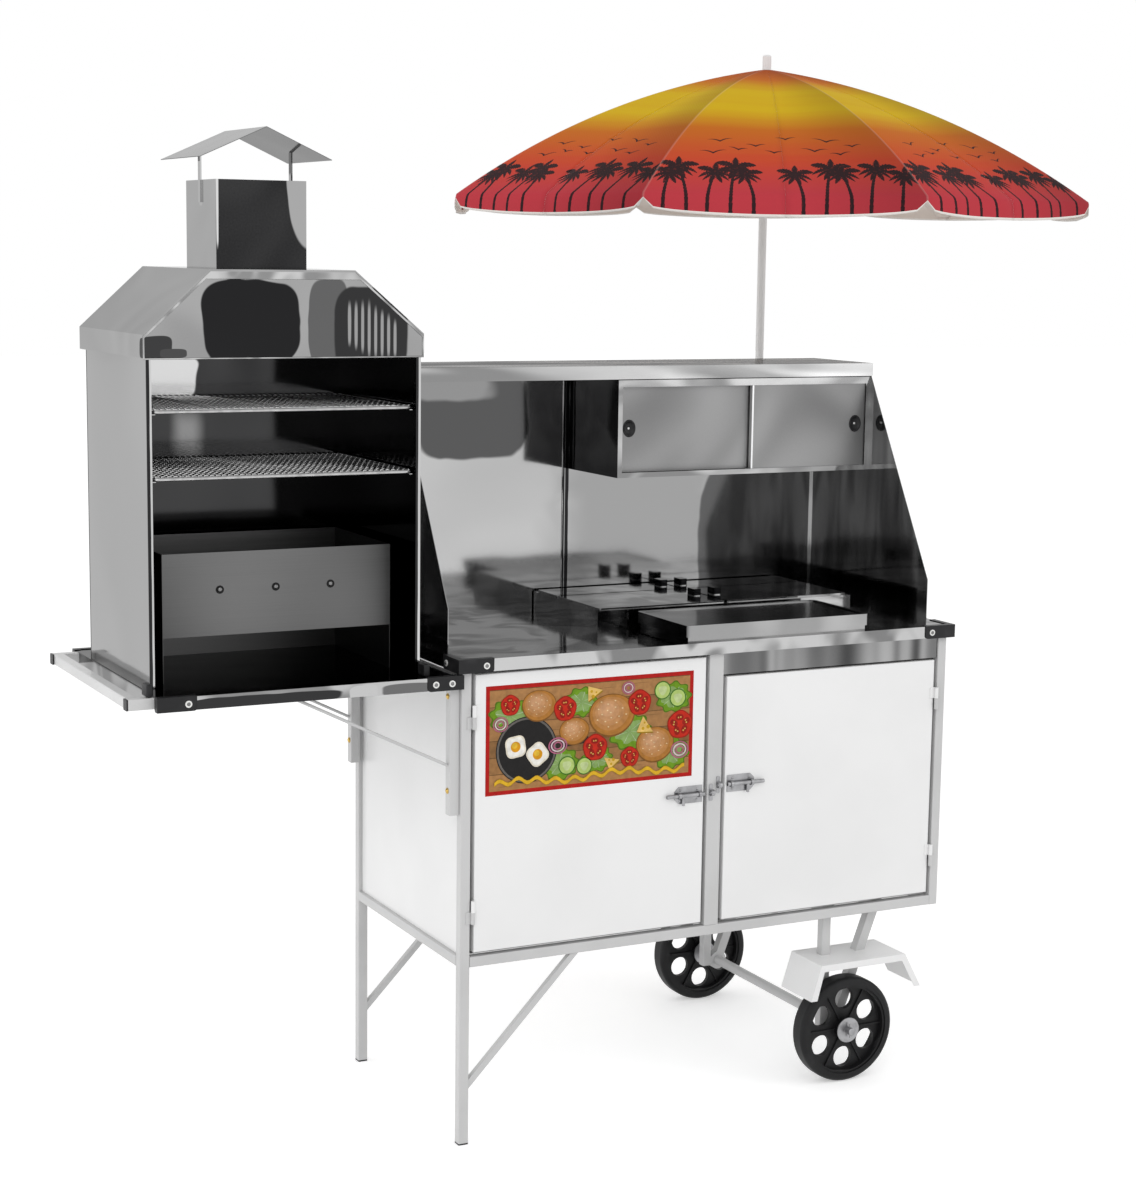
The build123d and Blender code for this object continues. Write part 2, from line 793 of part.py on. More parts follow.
# Back wall of the serving space, with the raised seam in line with the showcase
shelf_under = shelf_height - sheet
right_wing_x = cabinet_length - wing_inset
back_low = (wing_inset + sheet, back_wall_y, counter_height)
back_high = (right_wing_x - sheet, back_wall_y + sheet, shelf_under)
with BuildPart() as back_wall:
    add(block(back_low, back_high))
    seam_low = (showcase_left - weld_gap - seam_width, back_wall_y - seam_rise, counter_height)
    add(block(seam_low, (showcase_left - weld_gap, back_wall_y, shelf_under)))
back_wall.part.label = "back_wall"
export_step(back_wall.part, "parts/back_wall.step")

# Side wings, cut back towards the top
with BuildPart() as wing_panels:
    for x in (wing_inset, right_wing_x - sheet):
        with BuildSketch(side_plane(x)):
            with BuildLine():
                Polyline(
                    (wing_front, counter_height),
                    (back_wall_y + sheet, counter_height),
                    (back_wall_y + sheet, shelf_under),
                    (wing_top_y, shelf_under),
                    (wing_top_y, shelf_height - shelf_edge),
                    (wing_front, counter_height + wing_upright),
                    close=True,
                )
            make_face()
        extrude(amount=sheet)
wing_panels.part.label = "wing_panels"
export_step(wing_panels.part, "parts/wing_panels.step")

# Top shelf: a folded pan over the wings
with BuildPart() as top_shelf:
    low = (0, shelf_front, shelf_height - shelf_edge)
    add(folded_pan(low, (cabinet_length, cabinet_depth, shelf_height), (Axis.Z, 0)))
top_shelf.part.label = "top_shelf"
export_step(top_shelf.part, "parts/top_shelf.step")

# Overhead showcase: a box open at the front, with two sliding tracks and end jambs
showcase_top = shelf_height - showcase_drop
showcase_base = showcase_top - showcase_height
showcase_low = (showcase_left, showcase_front, showcase_base)
showcase_high = (back_high[0], back_wall_y, showcase_top)
track_bottom = showcase_base + sheet
track_head = showcase_top - sheet
with BuildPart() as overhead_cabinet:
    add(folded_pan(showcase_low, showcase_high, (Axis.Y, 0)))
    for index in range(3):
        fin_y = showcase_front + track_pitch * index
        left, right = showcase_low[0], showcase_high[0]
        add(block((left, fin_y, showcase_base), (right, fin_y + track_fin, track_bottom + track_height)))
        add(block((left, fin_y, track_head - upper_track_height), (right, fin_y + track_fin, showcase_top)))
    for left in (showcase_low[0], showcase_high[0] - jamb_width):
        jamb_high = (left + jamb_width, fin_y + track_fin, showcase_top)
        add(block((left, showcase_front, showcase_base), jamb_high))
overhead_cabinet.part.label = "overhead_cabinet"
export_step(overhead_cabinet.part, "parts/overhead_cabinet.step")

# Two sliding doors, the left one in the back track
opening_left = showcase_low[0] + jamb_width + fit
opening_right = showcase_high[0] - jamb_width - fit
sliders = {
    "left_sliding_door": (opening_left, slider_split + slider_overlap / 2, 1, opening_left + pull_inset),
    "right_sliding_door": (slider_split - slider_overlap / 2, opening_right, 0, opening_right - pull_inset),
}
for name, (left, right, track, pull_x) in sliders.items():
    front = showcase_front + track_fin + slider_side_clear + track * track_pitch
    with BuildPart() as slider:
        low = (left, front, track_bottom + fit)
        add(folded_pan(low, (right, front + slider_thick, track_head - fit), (Axis.Y, -1)))
        for grow, depth, mode in ((sheet, pull_depth + sheet, Mode.ADD), (0, pull_depth, Mode.SUBTRACT)):
            with BuildSketch(front_plane(front)):
                with Locations((pull_x, (track_bottom + track_head) / 2)):
                    Ellipse(pull_width / 2 + grow, pull_height / 2 + grow)
            extrude(amount=-depth, mode=mode)
    slider.part.label = name
    export_step(slider.part, f"parts/{name}.step")

# Grill shelf: a folded pan, open to the cabinet, notched at the left for the arms
with BuildPart() as grill_tray:
    low = (tray_left, counter_low[1], tray_low_z)
    add(folded_pan(low, (tray_right, counter_high[1], tray_height), (Axis.Z, 0), (Axis.X, -1)))
    for y in arm_ys:
        with BuildSketch(side_plane(tray_left)):
            with Locations((y, (tray_low_z + arm_top) / 2)):
                Rectangle(tube + 2 * fit, arm_top - tray_low_z)
        extrude(amount=sheet, mode=Mode.SUBTRACT)
grill_tray.part.label = "grill_tray"
export_step(grill_tray.part, "parts/grill_tray.step")

# Brackets: two arms that run out into the push handle, uprights on the legs and struts
with BuildPart() as shelf_brackets:
    arm_z = arm_top - tube / 2
    slope = math.atan2(arm_top - tube - strut_foot, strut_reach)
    for y in arm_ys:
        add(square_tube((-tube / 2, y, bracket_base), (-tube / 2, y, arm_top)))
        add(square_tube((-arm_reach, y, arm_z), (-tube - weld_gap, y, arm_z)))
        strut_start = (-tube - weld_gap - strut_radius * math.sin(slope), y, strut_foot)
        strut_end = (-tube - strut_reach, y, arm_top - tube - weld_gap - strut_radius * math.cos(slope))
        add(rod(strut_start, strut_end, strut_radius))
    bar_x = -arm_reach + tube / 2
    clear = tube / 2 + weld_gap
    add(square_tube((bar_x, arm_ys[0] + clear, arm_z), (bar_x, arm_ys[1] - clear, arm_z)))
shelf_brackets.part.label = "shelf_brackets"
export_step(shelf_brackets.part, "parts/shelf_brackets.step")

# Charcoal tower: three walls with front returns, ledges for the racks and a top flange
tower_length = tower_right - tower_left
tower_middle = ((tower_left + tower_right) / 2, tower_front + tower_depth / 2)
rack_levels = {"upper_rack": upper_rack_height, "lower_rack": lower_rack_height}
hood_middle = ((hood_left + hood_right) / 2, hood_front + hood_depth / 2)
with BuildPart() as grill_body:
    with BuildSketch(floor_plane(tray_height)):
        with Locations(tower_middle):
            Rectangle(tower_length, tower_depth)
            Rectangle(tower_length - 2 * sheet, tower_depth - 2 * sheet, mode=Mode.SUBTRACT)
        with Locations((tower_middle[0], tower_front + sheet / 2)):
            Rectangle(tower_length - 2 * tower_return, sheet, mode=Mode.SUBTRACT)
    extrude(amount=tower_top - tray_height)
    with BuildSketch(floor_plane(tower_top)):
        with Locations(hood_middle):
            Rectangle(hood_right - hood_left, hood_depth)
        with Locations(tower_middle):
            Rectangle(tower_length - 2 * sheet, tower_depth - 2 * sheet, mode=Mode.SUBTRACT)
    extrude(amount=-sheet)
    for level in rack_levels.values():
        ledge_top = level - rack_frame_radius - fit
        for left in (tower_left, tower_right - ledge_width):
            low = (left, tower_front + tower_return, ledge_top - sheet)
            add(block(low, (left + ledge_width, tower_front + tower_depth, ledge_top)))
grill_body.part.label = "grill_body"
export_step(grill_body.part, "parts/grill_body.step")

# Hood: a folded prism with a flat top, open below, with the flue hole
hood_top = tower_top + hood_skirt + hood_rise
with BuildPart() as hood:
    outline = (
        (hood_left, tower_top),
        (hood_right, tower_top),
        (hood_right, tower_top + hood_skirt),
        (hood_top_right, hood_top),
        (hood_top_left, hood_top),
        (hood_left, tower_top + hood_skirt),
    )
    add(profile_along_y(outline, hood_front, hood_depth))
    offset(amount=-sheet, openings=hood.faces().sort_by(Axis.Z)[0])
    with BuildSketch(floor_plane(hood_top)):
        with Locations((chimney_x, chimney_y)):
            Rectangle(chimney_size - 2 * sheet, chimney_size - 2 * sheet)
    extrude(amount=-sheet, mode=Mode.SUBTRACT)
hood.part.label = "hood"
export_step(hood.part, "parts/hood.step")

# Chimney: a square flue and a ridged rain cap on two flat posts
chimney_top = hood_top + chimney_height
cap_eaves_z = chimney_top + cap_eaves
cap_slope = cap_rise / cap_half_width
with BuildPart() as chimney:
    with BuildSketch(floor_plane(hood_top)):
        with Locations((chimney_x, chimney_y)):
            Rectangle(chimney_size, chimney_size)
            Rectangle(chimney_size - 2 * sheet, chimney_size - 2 * sheet, mode=Mode.SUBTRACT)
    extrude(amount=chimney_height)
    cap_outline = (
        (chimney_x - cap_half_width, cap_eaves_z),
        (chimney_x, cap_eaves_z + cap_rise),
        (chimney_x + cap_half_width, cap_eaves_z),
        (chimney_x + cap_half_width, cap_eaves_z - sheet),
        (chimney_x, cap_eaves_z + cap_rise - sheet),
        (chimney_x - cap_half_width, cap_eaves_z - sheet),
    )
    add(profile_along_y(cap_outline, chimney_y - cap_depth / 2, cap_depth))
    post_out = chimney_size / 2 + cap_post_thick
    post_top = cap_eaves_z + cap_rise - post_out * cap_slope - sheet / 2
    for left in (chimney_x - post_out, chimney_x + chimney_size / 2):
        low = (left, chimney_y - cap_post_width / 2, chimney_top - cap_post_hold)
        add(block(low, (left + cap_post_thick, chimney_y + cap_post_width / 2, post_top)))
chimney.part.label = "chimney"
export_step(chimney.part, "parts/chimney.step")

# Wire racks that rest on the ledges and draw out to the front
rack_left = tower_left + tower_return + 2 * fit
rack_right = tower_right - tower_return - 2 * fit
rack_front = tower_front + tower_return + 2 * fit
for name, level in rack_levels.items():
    left = rack_left + rack_frame_radius
    right = rack_right - rack_frame_radius
    front = rack_front + rack_frame_radius
    back = rack_front + rack_depth - rack_frame_radius
    with BuildPart() as rack:
        with BuildLine(floor_plane(level)) as frame_wire:
            FilletPolyline(
                (left, front), (right, front), (right, back), (left, back),
                radius=rack_corner, close=True,
            )
        with BuildSketch(Plane(origin=frame_wire.line @ 0, z_dir=frame_wire.line % 0)):
            Circle(rack_frame_radius)
        sweep()
        for index in range(1, rack_wires + 1):
            x = left + (right - left) * index / (rack_wires + 1)
            add(rod((x, front, level), (x, back, level), rack_wire_radius))
    rack.part.label = name
    export_step(rack.part, f"parts/{name}.step")

# Firebox: sides and back down to the shelf, a half-height front and a lip over the coals
firebox_back = firebox_front + firebox_depth
firebox_base = tray_height + fit
bed_height = firebox_top - firebox_panel
with BuildPart() as firebox:
    for left in (firebox_left, firebox_right - sheet):
        add(block((left, firebox_front, firebox_base), (left + sheet, firebox_back, firebox_top)))
    add(block((firebox_left, firebox_back - sheet, firebox_base), (firebox_right, firebox_back, firebox_top)))
    add(block((firebox_left, firebox_front, bed_height), (firebox_right, firebox_front + sheet, firebox_top)))
    add(block((firebox_left, firebox_front, bed_height), (firebox_right, firebox_back, bed_height + sheet)))
    with BuildSketch(side_plane(firebox_left)):
        with BuildLine():
            Polyline(
                (firebox_front, firebox_top),
                (firebox_front + firebox_lip, firebox_top - firebox_lip_fall),
                (firebox_front + firebox_lip, firebox_top - firebox_lip_fall - sheet),
                (firebox_front, firebox_top - sheet),
                close=True,
            )
        make_face()
    extrude(amount=firebox_right - firebox_left)
    with BuildSketch(front_plane(firebox_front)):
        with Locations((firebox_hole_x, firebox_hole_height)):
            with GridLocations(firebox_hole_pitch, 1, 3, 1):
                Circle(firebox_hole_radius)
    extrude(amount=-sheet, mode=Mode.SUBTRACT)
firebox.part.label = "firebox"
export_step(firebox.part, "parts/firebox.step")

# Axle tube with its hangers under the cabinet: an upright and a slanted tube each side
front_wheel_back = front_wheel_y + wheel_width
axle_tube_ends = (front_wheel_back + washer_thick + 2 * fit, rear_wheel_y - washer_thick - 2 * fit)
with BuildPart() as axle_carrier:
    add(rod((axle_x, axle_tube_ends[0], axle_z), (axle_x, axle_tube_ends[1], axle_z), axle_tube_radius))
    for y in hanger_ys:
        add(rod((axle_x, y - tube / 2, axle_z), (axle_x, y + tube / 2, axle_z), axle_boss_radius))
        post_foot = axle_z - axle_boss_radius / 2
        add(square_tube((hanger_post_x, y, post_foot), (hanger_post_x, y, cabinet_base)))
        slope = math.atan2(cabinet_base - axle_z, hanger_slant_x - axle_x)
        half = tube / 2 / math.sin(slope)
        outline = (
            (axle_x - half, axle_z),
            (axle_x + half, axle_z),
            (hanger_slant_x + half, cabinet_base),
            (hanger_slant_x - half, cabinet_base),
        )
        add(profile_along_y(outline, y - tube / 2, tube))
        gusset = (
            (hanger_post_x, axle_z - axle_boss_radius / 2),
            (axle_x, axle_z - axle_boss_radius / 2),
            (axle_x, axle_z + axle_boss_radius / 2),
            (hanger_post_x, axle_z + axle_boss_radius / 2),
        )
        add(profile_along_y(gusset, y - tube / 2, tube))
    with BuildSketch(front_plane(axle_tube_ends[0])):
        with Locations((axle_x, axle_z)):
            Circle(axle_radius + weld_gap)
    extrude(amount=axle_tube_ends[0] - axle_tube_ends[1], mode=Mode.SUBTRACT)
axle_carrier.part.label = "axle_carrier"
export_step(axle_carrier.part, "parts/axle_carrier.step")

# Axle with a washer each side of both wheels and a split pin through each end
rear_wheel_back = rear_wheel_y + wheel_width
axle_low_y = front_wheel_y - axle_end
axle_high_y = rear_wheel_back + axle_end
with BuildPart() as axle:
    add(rod((axle_x, axle_low_y, axle_z), (axle_x, axle_high_y, axle_z), axle_radius))
    chamfer(axle.edges().filter_by(GeomType.CIRCLE), washer_thick / 2)
    for y in (front_wheel_y - fit - washer_thick, front_wheel_back + fit,
              rear_wheel_y - fit - washer_thick, rear_wheel_back + fit):
        add(rod((axle_x, y, axle_z), (axle_x, y + washer_thick, axle_z), washer_radius))
    for y in (front_wheel_y - axle_end / 2, rear_wheel_back + axle_end / 2):
        pin_low, pin_high = axle_z - split_pin_length / 2, axle_z + split_pin_length / 2
        add(rod((axle_x, y, pin_low), (axle_x, y, pin_high), split_pin_radius))
axle.part.label = "axle"
export_step(axle.part, "parts/axle.step")

# Mudguards: a bent sheet with a flange round its outer edge, notched for the hangers
mudguard_places = (
    (front_wheel_y - mudguard_cover, 0),
    (rear_wheel_back + mudguard_cover - mudguard_width, mudguard_width - mudguard_sheet),
)
rise = mudguard_top - mudguard_foot
with BuildPart() as fenders:
    for low_y, flange_y in mudguard_places:
        bands = ((low_y, mudguard_width, mudguard_sheet), (low_y + flange_y, mudguard_sheet, mudguard_flange))
        for band_y, width, thick in bands:
            side = thick / math.sin(math.atan2(rise, mudguard_flat_left - mudguard_left))
            outline = (
                (mudguard_left, mudguard_foot),
                (mudguard_flat_left, mudguard_top),
                (mudguard_flat_right, mudguard_top),
                (mudguard_right, mudguard_foot),
                (mudguard_right - side, mudguard_foot),
                (mudguard_flat_right - side / 2, mudguard_top - thick),
                (mudguard_flat_left + side / 2, mudguard_top - thick),
                (mudguard_left + side, mudguard_foot),
            )
            add(profile_along_y(outline, band_y, width))
    slant_x = axle_x + (hanger_slant_x - axle_x) * (mudguard_top - axle_z) / (cabinet_base - axle_z)
    with BuildSketch(floor_plane(mudguard_top)):
        for y in hanger_ys:
            with Locations((hanger_post_x, y), (slant_x, y)):
                Rectangle(tube + 2 * mudguard_sheet, tube + 2 * fit)
    extrude(amount=-2 * mudguard_sheet, mode=Mode.SUBTRACT)
fenders.part.label = "fenders"
export_step(fenders.part, "parts/fenders.step")


def wheel(low_y):
    """A moulded wheel: hub, pierced web with ribs, rim and tread."""
    middle = at(axle_x, low_y + wheel_width / 2, axle_z)
    with BuildPart() as piece:
        with BuildSketch(Plane(origin=middle)) as section:
            bore = axle_radius + wheel_bore_clear
            with Locations(((bore + hub_radius) / 2, 0)):
                Rectangle(hub_radius - bore, wheel_width)
            with Locations(((hub_radius + rim_radius) / 2, 0)):
                Rectangle(rim_radius - hub_radius, web_thick)
            with Locations(((rim_radius + wheel_radius) / 2, 0)):
                Rectangle(wheel_radius - rim_radius, wheel_width)
            tread = section.vertices().sort_by(Axis.X)[-2:]
            fillet(tread, tread_radius)
            step_y = (wheel_width + rim_width) / 4
            with Locations((rim_radius, step_y), (rim_radius, -step_y)):
                Rectangle(tread_radius, (wheel_width - rim_width) / 2, mode=Mode.SUBTRACT)
        revolve(axis=Axis(middle, (0, 1, 0)))
        face = Plane(origin=middle, x_dir=(1, 0, 0), z_dir=(0, -1, 0))
        with BuildSketch(face):
            with PolarLocations((hub_radius + rim_radius) / 2, web_holes):
                Rectangle(rim_radius - hub_radius + tread_radius / 2, web_rib_thick)
        extrude(amount=web_rib_height / 2, both=True)
        with BuildSketch(face):
            with PolarLocations(web_hole_circle, web_holes, start_angle=180 / web_holes):
                Circle(web_hole_radius)
        extrude(amount=web_thick, both=True, mode=Mode.SUBTRACT)
    return piece.part


for name, low_y in {"front_wheel": front_wheel_y, "rear_wheel": rear_wheel_y}.items():
    wheel_part = wheel(low_y)
    wheel_part.label = name
    export_step(wheel_part, f"parts/{name}.step")

# Socket for the parasol, on two brackets behind the cabinet
socket_low = pole_bottom - fit - socket_floor
socket_high = socket_low + socket_length
with BuildPart() as pole_socket:
    add(rod((pole_x, pole_y, socket_low), (pole_x, pole_y, socket_high), socket_radius))
    bracket_zs = (socket_low + socket_bracket_inset, socket_high - socket_bracket_inset - bracket_height)
    for z in bracket_zs:
        add(block((pole_x - tube / 2, cabinet_depth, z), (pole_x + tube / 2, pole_y, z + bracket_height)))
    with BuildSketch(floor_plane(socket_high)):
        with Locations((pole_x, pole_y)):
            Circle(pole_radius + pole_slide_clear)
    extrude(amount=-(socket_length - socket_floor), mode=Mode.SUBTRACT)
pole_socket.part.label = "pole_socket"
export_step(pole_socket.part, "parts/pole_socket.step")


def spider(level, below, above, outer, bore, pivot_radius, sideways):
    """A notched ring on the pole, with a cross pin in each notch for a rod's eye."""
    middle = Plane(origin=at(pole_x, pole_y, level))
    notch_low = pivot_radius - eye_radius - fit
    notch_length = outer + fit - notch_low
    with BuildPart() as ring:
        with BuildSketch(middle.offset(-below)):
            Circle(outer)
            with PolarLocations(0, rib_count, start_angle=first_rib_angle):
                with Locations((notch_low + notch_length / 2, sideways)):
                    Rectangle(notch_length, eye_thick + 2 * fit, mode=Mode.SUBTRACT)
            if bore:
                Circle(bore, mode=Mode.SUBTRACT)
        extrude(amount=below + above)
        for angle in rib_angles:
            facing = math.radians(angle)
            tangent = Vector(-math.sin(facing), math.cos(facing))
            centre = middle.origin + Vector(math.cos(facing), math.sin(facing)) * pivot_radius
            start = centre + tangent * (sideways - cross_pin_length / 2)
            with BuildSketch(Plane(origin=start, z_dir=tangent)):
                Circle(cross_pin_radius)
            extrude(amount=cross_pin_length)
    return ring.part


# Pole with the crown that carries the ribs and the ferrule on top
with BuildPart() as umbrella_pole:
    crown_top = pivot_height + crown_above
    add(rod((pole_x, pole_y, pole_bottom), (pole_x, pole_y, crown_top), pole_radius))
    chamfer(umbrella_pole.edges().filter_by(GeomType.CIRCLE).sort_by(Axis.Z)[0], pole_radius / 6)
    add(spider(pivot_height, crown_below, crown_above, crown_radius, 0, rib_pivot_radius, 0))
    add(rod((pole_x, pole_y, crown_top), (pole_x, pole_y, ferrule_top), ferrule_radius))
    fillet(umbrella_pole.faces().sort_by(Axis.Z)[-1].edges(), ferrule_radius / 2)
umbrella_pole.part.label = "umbrella_pole"
export_step(umbrella_pole.part, "parts/umbrella_pole.step")

# Runner: the notched ring that slides on the pole, with its sleeve
runner_z = pivot_height - runner_drop
with BuildPart() as umbrella_runner:
    bore = pole_radius + pole_slide_clear
    add(spider(runner_z, runner_half_height, runner_half_height, runner_radius, bore,
               runner_pivot_radius, stretcher_offset))
    with BuildSketch(floor_plane(runner_z - runner_half_height)):
        with Locations((pole_x, pole_y)):
            Circle(runner_sleeve_radius)
            Circle(bore, mode=Mode.SUBTRACT)
    extrude(amount=-runner_sleeve)
umbrella_runner.part.label = "umbrella_runner"
export_step(umbrella_runner.part, "parts/umbrella_runner.step")


def rib_point(share, lift=0.0):
    """Radius and height at a share of the rib's chord, lifted square to the chord."""
    along = share * chord_length
    rise = 4 * rib_sagitta * share * (1 - share) + lift
    radius = rib_pivot_radius + along * math.cos(chord_angle) + rise * math.sin(chord_angle)
    height = pivot_height - along * math.sin(chord_angle) + rise * math.cos(chord_angle)
    return (radius, height)


def rod_plane(index, sideways):
    """The upright plane of one rib: radius across and height up."""
    facing = math.radians(rib_angles[index])
    tangent = Vector(-math.sin(facing), math.cos(facing))
    origin = Vector(*at(pole_x, pole_y, 0)) + tangent * sideways
    return Plane(origin=origin, x_dir=(math.cos(facing), math.sin(facing), 0), z_dir=-tangent)


def eye(plane, pivot, toward, neck_height):
    """The flat bored eye at a rod's inner end, with the neck that joins the rod."""
    run = Vector(*toward) - Vector(*pivot)
    angle = math.degrees(math.atan2(run.Y, run.X))
    with BuildPart() as piece:
        with BuildSketch(plane):
            with Locations(pivot):
                Circle(eye_radius)
                Rectangle(eye_neck, neck_height, rotation=angle, align=(Align.MIN, Align.CENTER))
                Circle(cross_pin_radius + pin_clear, mode=Mode.SUBTRACT)
        extrude(amount=eye_thick / 2, both=True)
    return piece.part


def rib(index):
    """One curved rib with its eye on the crown's cross pin."""
    plane = rod_plane(index, 0)
    share = (eye_neck - cross_pin_radius) / chord_length
    with BuildPart() as piece:
        with BuildLine(plane) as arc:
            ThreePointArc(rib_point(share), rib_point(0.5), rib_point(1 - rib_tip_inset / chord_length))
        with BuildSketch(Plane(origin=arc.line @ 0, z_dir=arc.line % 0)):
            Circle(rib_radius)
        sweep()
        add(eye(plane, rib_point(0), rib_point(share), rib_radius))
    return piece.part


def stretcher(index):
    """One straight stretcher from the runner's cross pin to beside its rib."""
    plane = rod_plane(index, stretcher_offset)
    foot = Vector(runner_pivot_radius, runner_z)
    head = Vector(*rib_point(stretcher_attach / chord_length))
    along = (head - foot).normalized()
    start = plane.from_local_coords(foot + along * (eye_neck - cross_pin_radius))
    end = plane.from_local_coords(head)
    with BuildPart() as piece:
        with BuildSketch(Plane(origin=start, z_dir=end - start)):
            Circle(stretcher_radius)
        extrude(amount=(end - start).length)
        add(eye(plane, (foot.X, foot.Y), (head.X, head.Y), stretcher_radius))
    return piece.part


for index in range(rib_count):
    rib_part = rib(index)
    rib_part.label = f"umbrella_rib_{index + 1}"
    export_step(rib_part, f"parts/umbrella_rib_{index + 1}.step")
    stretcher_part = stretcher(index)
    stretcher_part.label = f"umbrella_stretcher_{index + 1}"
    export_step(stretcher_part, f"parts/umbrella_stretcher_{index + 1}.step")

# Canopy: cloth over the ribs in flat-sided rings, with a hanging edge between the ribs
def cloth_shape(lift, extra):
    """The solid under one face of the cloth, carried down past the hem by extra."""
    start_share = -(rib_pivot_radius - pole_radius - cloth) / chord_run
    shares = [start_share + (1 - start_share) * step / cloth_steps for step in range(cloth_steps + 1)]
    with BuildPart() as piece:
        for share in shares:
            radius, height = rib_point(share, lift)
            with BuildSketch(Plane(origin=at(pole_x, pole_y, height))):
                RegularPolygon(radius, rib_count, rotation=first_rib_angle)
        loft(ruled=True)
        if extra:
            with BuildSketch(Plane(origin=at(pole_x, pole_y, height))):
                RegularPolygon(radius, rib_count, rotation=first_rib_angle)
            extrude(amount=-extra)
    return piece.part


hem_height = rib_point(1, cloth_lift + cloth)[1]
with BuildPart() as umbrella_canopy:
    add(cloth_shape(cloth_lift + cloth, 0))
    add(cloth_shape(cloth_lift, cloth), mode=Mode.SUBTRACT)
    with BuildSketch(Plane(origin=at(pole_x, pole_y, pivot_height))):
        Circle(ferrule_radius + fit)
    extrude(amount=ferrule_top - pivot_height, mode=Mode.SUBTRACT)
    half_side = hem_radius * math.sin(math.pi / rib_count)
    flat_radius = hem_radius * math.cos(math.pi / rib_count)
    for angle in rib_angles:
        facing = math.radians(angle + 180 / rib_count)
        outward = Vector(math.cos(facing), math.sin(facing))
        side = Plane(
            origin=Vector(*at(pole_x, pole_y, hem_height)) + outward * flat_radius,
            x_dir=(-math.sin(facing), math.cos(facing), 0),
            z_dir=outward,
        )
        with BuildSketch(side):
            with BuildLine():
                ThreePointArc((-half_side, -valance_at_rib), (0, -valance), (half_side, -valance_at_rib))
                Line((half_side, -valance_at_rib), (half_side, 0))
                Line((half_side, 0), (-half_side, 0))
                Line((-half_side, 0), (-half_side, -valance_at_rib))
            make_face()
        extrude(amount=-cloth)
umbrella_canopy.part.label = "umbrella_canopy"
export_step(umbrella_canopy.part, "parts/umbrella_canopy.step")
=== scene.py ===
"""Dresses the hot dog cart: finishes of the solid pieces, printed parasol, sign, wire mesh and fasteners."""

import json
import math
from functools import partial, reduce

import bmesh
import bpy
from bpy.props import FloatProperty, FloatVectorProperty, IntProperty, PointerProperty
from mathutils import Matrix, Vector


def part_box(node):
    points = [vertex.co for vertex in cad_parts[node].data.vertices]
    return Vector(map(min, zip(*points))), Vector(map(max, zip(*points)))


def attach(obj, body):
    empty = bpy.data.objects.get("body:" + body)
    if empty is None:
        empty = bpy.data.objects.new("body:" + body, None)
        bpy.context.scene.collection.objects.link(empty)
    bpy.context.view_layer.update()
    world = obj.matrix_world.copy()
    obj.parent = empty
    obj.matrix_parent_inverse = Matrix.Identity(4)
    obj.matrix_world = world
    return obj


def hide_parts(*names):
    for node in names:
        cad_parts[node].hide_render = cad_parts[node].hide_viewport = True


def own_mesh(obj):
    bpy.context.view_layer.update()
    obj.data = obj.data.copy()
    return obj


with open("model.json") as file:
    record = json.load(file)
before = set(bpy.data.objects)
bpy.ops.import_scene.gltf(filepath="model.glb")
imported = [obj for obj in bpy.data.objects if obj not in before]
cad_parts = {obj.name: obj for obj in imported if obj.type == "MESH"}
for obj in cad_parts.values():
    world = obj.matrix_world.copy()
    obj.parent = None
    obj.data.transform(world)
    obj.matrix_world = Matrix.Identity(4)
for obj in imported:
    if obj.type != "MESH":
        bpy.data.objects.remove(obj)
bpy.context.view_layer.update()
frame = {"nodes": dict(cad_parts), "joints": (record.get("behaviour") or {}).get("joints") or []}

bl_info = {
    "name": "Street Cart Dresser",
    "version": (1, 0, 0),
    "blender": (4, 5, 0),
    "location": "View3D > Sidebar > Cart",
    "description": "Finishes and small pieces of a hot dog cart",
    "category": "Object",
}

JOINTS = {joint["name"]: joint for joint in frame["joints"]}
# The front left leg's outer corner, from which the cart's own places are measured
LEG_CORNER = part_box("cabinet_frame")[0]
DOOR_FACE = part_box("left_latch_plate")[1].y
RIB_COUNT = 8
# Share of light that polished steel gives back at a grazing angle
EDGE_TINT = 0.6
SIDES = ("Left", "Right", "Front", "Back", "Top", "Under")
LEFT, FRONT, BACK = Vector((-1, 0, 0)), Vector((0, -1, 0)), Vector((0, 1, 0))
ORIGIN = (0, 0, 0)


def from_leg(x, y, z):
    """A place measured from the front left leg's outer corner, z from the floor."""
    return Vector((LEG_CORNER.x + x, LEG_CORNER.y + y, z))


def swatch(name, description, *parts):
    """A colour given by its three parts, or by one part for a grey."""
    return FloatVectorProperty(
        name=name, description=description, default=parts * (3 // len(parts)), subtype="COLOR", size=3,
        min=0.0, max=1.0,
    )


def number(name, description, default, **kind):
    return FloatProperty(name=name, description=description, default=default, **kind)


length = partial(number, unit="LENGTH", precision=4)
factor = partial(number, subtype="FACTOR", min=0.0, max=1.0)
bearing = partial(number, subtype="ANGLE")
power = partial(number, unit="POWER")


class CartFinishSettings(bpy.types.PropertyGroup):
    """Colours of paint, plastic and metal"""

    panel_white: swatch("Panel white", "Satin paint of panels, doors and mudguards", 0.84)
    frame_grey: swatch("Frame grey", "Paint of the square tube", 0.58)
    steel_dark: swatch("Steel, dark", "Polished steel where it mirrors the dark room", 0.012, 0.012, 0.013)
    steel_light: swatch("Steel, light", "Polished steel where it mirrors the lit room", 0.78)
    zinc: swatch("Zinc", "Plated latches and axle", 0.36, 0.36, 0.37)
    brass: swatch("Brass", "Bolts of the shelf brackets", 0.62, 0.43, 0.13)
    black: swatch("Black", "Moulded corner guards, caps and wheels", 0.012, 0.012, 0.013)
    enamel: swatch("Pole white", "Enamel of pole and ribs", 0.8)


